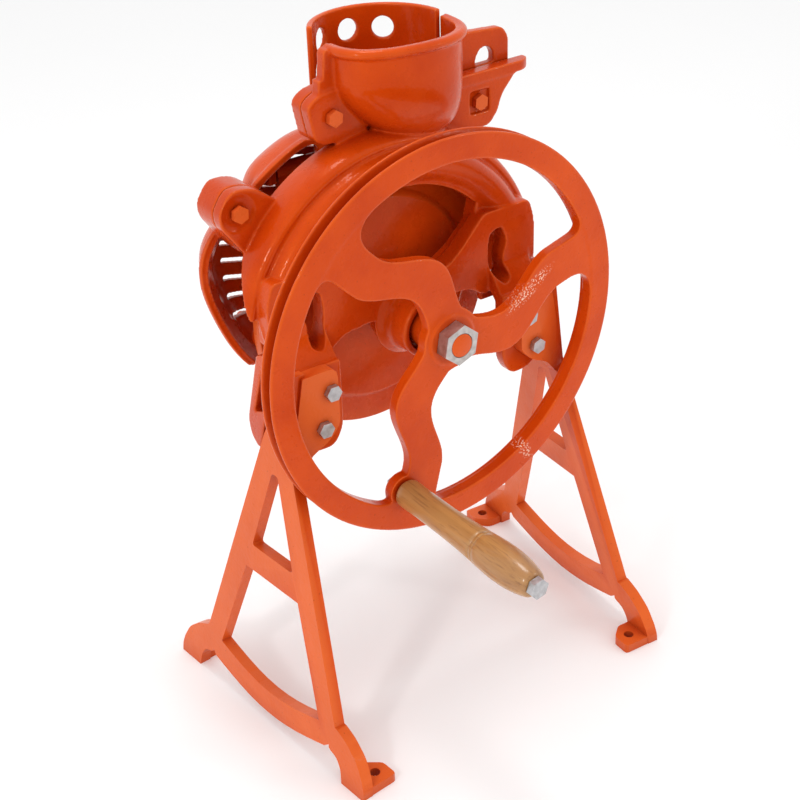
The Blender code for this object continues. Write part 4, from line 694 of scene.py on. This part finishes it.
def build_rear_casting():
    """Bowl with the cob chute and the grate, apron, lugs, tab, spring cup and the rear half of the hopper."""
    # bowl: a wall that curls forward from the flat back, thickened afterwards
    bm = bmesh.new()
    steps, curl, curl_steps = 220, 0.040, 14
    rows = []
    for i in range(steps + 1):
        turn = SHELL_START + (SHELL_END - SHELL_START) * i / steps
        radius, rim = shell_radius(turn) - CASE_WALL / 2, shell_rim(turn)
        back = BACK_OUT - CASE_WALL / 2
        inner = radius - shell_tuck(turn) - curl
        line = [(0.030, back), (inner, back)]
        for k in range(1, curl_steps + 1):
            bend = math.radians(90.0 * k / curl_steps)
            line.append((inner + curl * math.sin(bend), back - curl + curl * math.cos(bend)))
        line.append((radius, rim))
        angle = math.radians(turn)
        rows.append([bm.verts.new((r * math.cos(angle), y, AXLE_Z + r * math.sin(angle))) for r, y in line])
    for left, right in zip(rows, rows[1:]):
        for k in range(len(left) - 1):
            bm.faces.new((left[k], left[k + 1], right[k + 1], right[k]))
    rear = new_object("rear_detail", bm)
    thick = rear.modifiers.new("wall", 'SOLIDIFY')
    thick.thickness = CASE_WALL
    thick.offset = 0.0
    thick.use_even_offset = True
    bake(rear)
    add(rear, rim_lip("lip", 120))

    # apron that closes the hole left by the bowl, and the round wall of the hopper
    apron = rounded([(-0.112, 0.318), (-0.070, 0.262), (0.070, 0.262), (0.135, 0.292), (0.128, 0.345),
                     (0.045, 0.384), (-0.045, 0.384), (-0.108, 0.330)],
                    [0.004, 0.02, 0.02, 0.01, 0.004, 0.01, 0.01, 0.004])
    add(rear, prism("apron", apron, 'y', BACK_IN + 0.0001, BACK_OUT - 0.0001),
        rod("hopper", 'z', REAR_RING, 0.486, HOPPER_TOP_REAR, REAR_RING_R, 192))
    gap_end = math.radians(REAR_RING_END)
    gap = [REAR_RING, (REAR_RING[0] + 0.09 * math.cos(gap_end), REAR_RING[1] + 0.09 * math.sin(gap_end)),
           (REAR_RING[0] - 0.09, REAR_RING[1] + 0.02), (REAR_RING[0] - 0.09, REAR_RING[1] - 0.02)]
    cut(rear, prism("gap", gap, 'z', 0.5150, 0.62))

    # lugs, ear and spur on the right edge, tab with an arched opening
    for name, outline in lug_outlines().items():
        add(rear, prism("lug", outline, 'y', SPLIT_Y - 0.001, REAR_SEATS[name]))
    ear = rounded([(0.146, 0.330), (0.170, 0.332), (0.177, 0.350), (0.170, 0.366), (0.146, 0.380)],
                  [0, 0.010, 0.010, 0.008, 0])
    spur = rounded([(0.140, 0.366), (0.162, 0.366), (0.172, 0.372), (0.164, 0.379), (0.140, 0.384)],
                   [0, 0.002, 0.003, 0.003, 0])
    tab = rounded([(0.068, 0.525), (0.1535, 0.525), (0.1535, 0.558), (0.1470, 0.5675), (0.1070, 0.5705),
                   (0.068, 0.566)], [0, 0, 0.005, 0.006, 0.004, 0])
    arch = rounded([(0.1165, 0.5385), (0.1365, 0.5385), (0.1365, 0.5480), (0.1300, 0.5540), (0.1215, 0.5530),
                    (0.1165, 0.5450)], [0, 0, 0.004, 0.006, 0.005, 0.003])
    add(rear, prism("ear", ear, 'y', SPLIT_Y - 0.001, SPLIT_Y + 0.013),
        prism("spur", spur, 'y', SPLIT_Y + 0.0135, SPLIT_Y + 0.020),
        prism("tab", tab, 'y', SPLIT_Y - 0.001, SPLIT_Y + 0.009))

    # spring cup and the two hinge ears of the pressure plate, then everything that is hollow
    cup = lathe("cup", [(0, BACK_OUT - 0.003), (0.022, BACK_OUT - 0.003), (0.019, BACK_OUT + 0.004),
                        (0.019, 0.161), (0.018, 0.162), (0, 0.162)], 'y', SPRING_SPOT, 96)
    add(rear, cup)
    for x0 in (-0.070, 0.042):
        side = [(0.114, 0.460), (BACK_OUT - 0.002, 0.454), (BACK_OUT - 0.002, 0.478), (0.114, 0.476)]
        add(rear, prism("hinge", side, 'x', x0, x0 + 0.008))
    cut(rear, rod("room", 'z', REAR_RING, 0.440, 0.62, REAR_RING_R - 0.005, 160),
        block("half", (-0.3, -0.2, 0.20), (0.3, SPLIT_Y + GAP, 0.7)),
        rod("cup_bore", 'y', SPRING_SPOT, 0.12, 0.156, 0.015, 64),
        rod("screw", 'y', SPRING_SPOT, 0.14, 0.20, BOLT_HOLE_R),
        rod("pivot", 'x', PLATE_PIN, -0.08, 0.06, PIN_HOLE_R), prism("arch", arch, 'y', 0.05, 0.09))
    for spot in CASE_BOLTS.values():
        cut(rear, rod("hole", 'y', spot, 0.05, 0.11, BOLT_HOLE_R))

    # round holes in the hopper and the slots of the grate
    for turn, height, radius in ((53, 0.576, 0.0095), (85, 0.577, 0.0095), (119, 0.577, 0.0095),
                                 (127, 0.551, 0.0080)):
        hole = rod("vent", 'x', (0, 0), 0.03, 0.09, radius)
        hole.data.transform(Matrix.Rotation(math.radians(turn), 4, 'Z'))
        hole.data.transform(Matrix.Translation((REAR_RING[0], REAR_RING[1], height)))
        cut(rear, hole)
    for x0, x1, z, y0 in grate_slots():
        drop, half = SLOT_SLOPE * (x1 - x0), SLOT_HEIGHT / 2
        slot = [(x0, z - half), (x1, z - drop - half), (x1, z - drop + half), (x0, z + half)]
        cut(rear, prism("slot", slot, 'y', y0, 0.16))
    cast(rear, CAST_VOXEL, 5)
    finish_piece(rear, ENAMEL["case"], "stand", "rear_casting")


def build_rotor():
    """Toothed disc with a round plateau on its front."""
    profile = [(SHAFT_BORE_R, 0.047), (ROTOR_HUB_R, 0.047), (0.026, 0.054), (0.0925, 0.054), (0.0945, 0.0546),
               (0.0985, 0.0593), (0.1000, 0.060), (0.1215, 0.060), (0.1226, 0.0605), (ROTOR_R, 0.0616),
               (ROTOR_R, 0.070), (0.026, 0.070), (ROTOR_HUB_R, 0.083), (SHAFT_BORE_R, 0.083)]
    rotor = lathe("rotor_detail", profile, 'y', (0, AXLE_Z), 256)
    bm = bmesh.new()
    for ring in range(TOOTH_RINGS):
        radius = 0.045 + ring * TOOTH_PITCH
        count = int(2 * math.pi * radius / (TOOTH_PITCH * 1.05))
        for k in range(count):
            turn = 2 * math.pi * (k + 0.5 * (ring % 2)) / count
            spot = Vector((radius * math.cos(turn), 0.0735, AXLE_Z + radius * math.sin(turn)))
            bmesh.ops.create_cone(bm, cap_ends=True, segments=24, radius1=0.0045, radius2=0.0016, depth=0.009,
                                  matrix=Matrix.Translation(spot) @ Matrix.Rotation(-math.pi / 2, 4, 'X'))
    add(rotor, new_object("teeth", bm))
    cut(rotor, rod("pin_hole", 'x', (0.0765, AXLE_Z), -0.04, 0.04, PIN_HOLE_R))
    crisp(rotor, 35.0)
    finish_piece(rotor, ENAMEL["case"], "wheel_set", "rotor_disc")


def build_handle():
    """Turned wooden grip with two fine grooves, on a bolt."""
    base = WHEEL_FRONT - 0.0012
    line = [(0.0100, 0.0), (0.0118, -0.0004), (0.0127, -0.0014), (0.0131, -0.0030), (0.0132, -0.0090),
            (0.0129, -0.0200), (0.0128, -0.0300), (0.0129, -0.0450), (0.0131, -0.0600), (0.0135, -0.0730),
            (0.0140, -0.0850), (0.0148, -0.0990), (0.01500, -0.1022), (0.01445, -0.1030), (0.01505, -0.1038),
            (0.0153, -0.1060), (0.01470, -0.1068), (0.01535, -0.1076), (0.0158, -0.1120), (0.0163, -0.1190),
            (0.0167, -0.1260), (0.0168, -0.1320), (0.0166, -0.1400), (0.0161, -0.1470), (0.0152, -0.1540),
            (0.0140, -0.1600), (0.0126, -0.1655), (0.0117, -0.1680), (0.0104, -0.1695), (0.0085, -0.1700)]
    shape = [(CRANK_HOLE_R, base)] + [(r, base + y) for r, y in line] + [(CRANK_HOLE_R, base - GRIP_LENGTH)]
    grip = lathe("grip_detail", shape, 'y', (CRANK_X, CRANK_Z), 96)
    crisp(grip, 40.0)
    finish_piece(grip, WOOD, "grip", "handle_grip")


def crisp(obj, degrees):
    """Smooth shading that stays sharp at edges steeper than an angle."""
    for poly in obj.data.polygons:
        poly.use_smooth = True
    obj.data.set_sharp_from_angle(angle=math.radians(degrees))


def soften_edges(obj, width, segments=2):
    """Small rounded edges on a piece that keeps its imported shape."""
    mod = obj.modifiers.new("edges", 'BEVEL')
    mod.width = width
    mod.segments = segments
    mod.limit_method = 'ANGLE'
    mod.angle_limit = math.radians(38.0)
    mod.harden_normals = True
    crisp(obj, 38.0)


build_flywheel()
build_front_casting()
build_rear_casting()
build_rotor()
build_handle()

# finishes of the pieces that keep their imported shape
KEEP = {"orange_enamel": ENAMEL["case"], "bare_steel": ZINC, "bronze": BRONZE, "varnished_wood": WOOD}
for entry in frame["record"]["subparts"]:
    node = frame["nodes"].get(entry["node"])
    if node is not None:
        node.data.materials.clear()
        node.data.materials.append(KEEP[entry["material_slot"]])
for name, node in frame["nodes"].items():
    if name in ("leg_left", "leg_right"):
        node.data.materials[0] = ENAMEL["legs"]
        soften_edges(node, 0.0010)
    elif "bolt" in name or "nut" in name:
        soften_edges(node, 0.0006)
frame["nodes"]["axle_nut"].data.materials[0] = OLD_STEEL
tip = finish_piece(lathe("axle_paint", [(0, -0.0637), (0.0094, -0.0637), (0.0102, -0.0634), (0.0106, -0.0628),
                                        (0.0106, -0.0620), (0, -0.0620)], 'y', (0, AXLE_Z), 64),
                   ENAMEL["wheel"], "wheel_set")
crisp(tip, 30.0)

# ---- stage ----------------------------------------------------------------------------------------
floor = link(bpy.data.objects.new("floor", bpy.data.meshes.new("floor")))
bm = bmesh.new()
bmesh.ops.create_grid(bm, x_segments=1, y_segments=1, size=20.0)
bm.to_mesh(floor.data)
bm.free()
pale = Paint("pale_floor")
pale.set("Base Color", pale.mix(pale.noise(3.0), (0.975, 0.975, 0.975, 1), (0.985, 0.985, 0.985, 1)))
pale.set("Roughness", 0.8)
floor.data.materials.append(pale.mat)

world = bpy.data.worlds.new("studio")
bpy.context.scene.world = world
world.use_nodes = True
world.node_tree.nodes["Background"].inputs["Color"].default_value = (1.0, 1.0, 1.0, 1.0)
world.node_tree.nodes["Background"].inputs["Strength"].default_value = 0.91


def softbox(name, spot, target, size, power):
    """Rectangular studio lamp that faces a target."""
    light = bpy.data.lights.new(name, 'AREA')
    light.shape = 'RECTANGLE'
    light.size, light.size_y = size
    light.energy = power
    lamp = link(bpy.data.objects.new(name, light))
    lamp.location = spot
    lamp.rotation_euler = (Vector(target) - Vector(spot)).to_track_quat('-Z', 'Y').to_euler()


softbox("key", (-1.7, -0.7, 1.3), (0, 0, 0.3), (0.16, 0.30), 7)
softbox("top", (0.1, 0.3, 2.3), (0, 0, 0.3), (0.5, 0.5), 9)
softbox("side", (1.3, -1.6, 1.0), (0, 0, 0.3), (0.10, 0.6), 3)

# ---- camera ----------------------------------------------------------------------------------------
AZIMUTH, ELEVATION, ROLL = (math.radians(a) for a in (-35.18, 30.48, -2.105))
back = Vector((math.sin(AZIMUTH) * math.cos(ELEVATION), -math.cos(AZIMUTH) * math.cos(ELEVATION),
               math.sin(ELEVATION)))
level = Vector((math.cos(AZIMUTH), math.sin(AZIMUTH), 0.0))
rise = back.cross(level)
right = math.cos(ROLL) * level + math.sin(ROLL) * rise
up = math.cos(ROLL) * rise - math.sin(ROLL) * level
camera = link(bpy.data.objects.new("camera", bpy.data.cameras.new("camera")))
aim = Matrix((right, up, back)).transposed().to_4x4()
aim.translation = Vector((-0.69698, -0.95859, 0.97065))
camera.matrix_world = aim
camera.data.lens = 69.26
bpy.context.scene.camera = camera
bpy.context.scene.view_settings.view_transform = 'Standard'
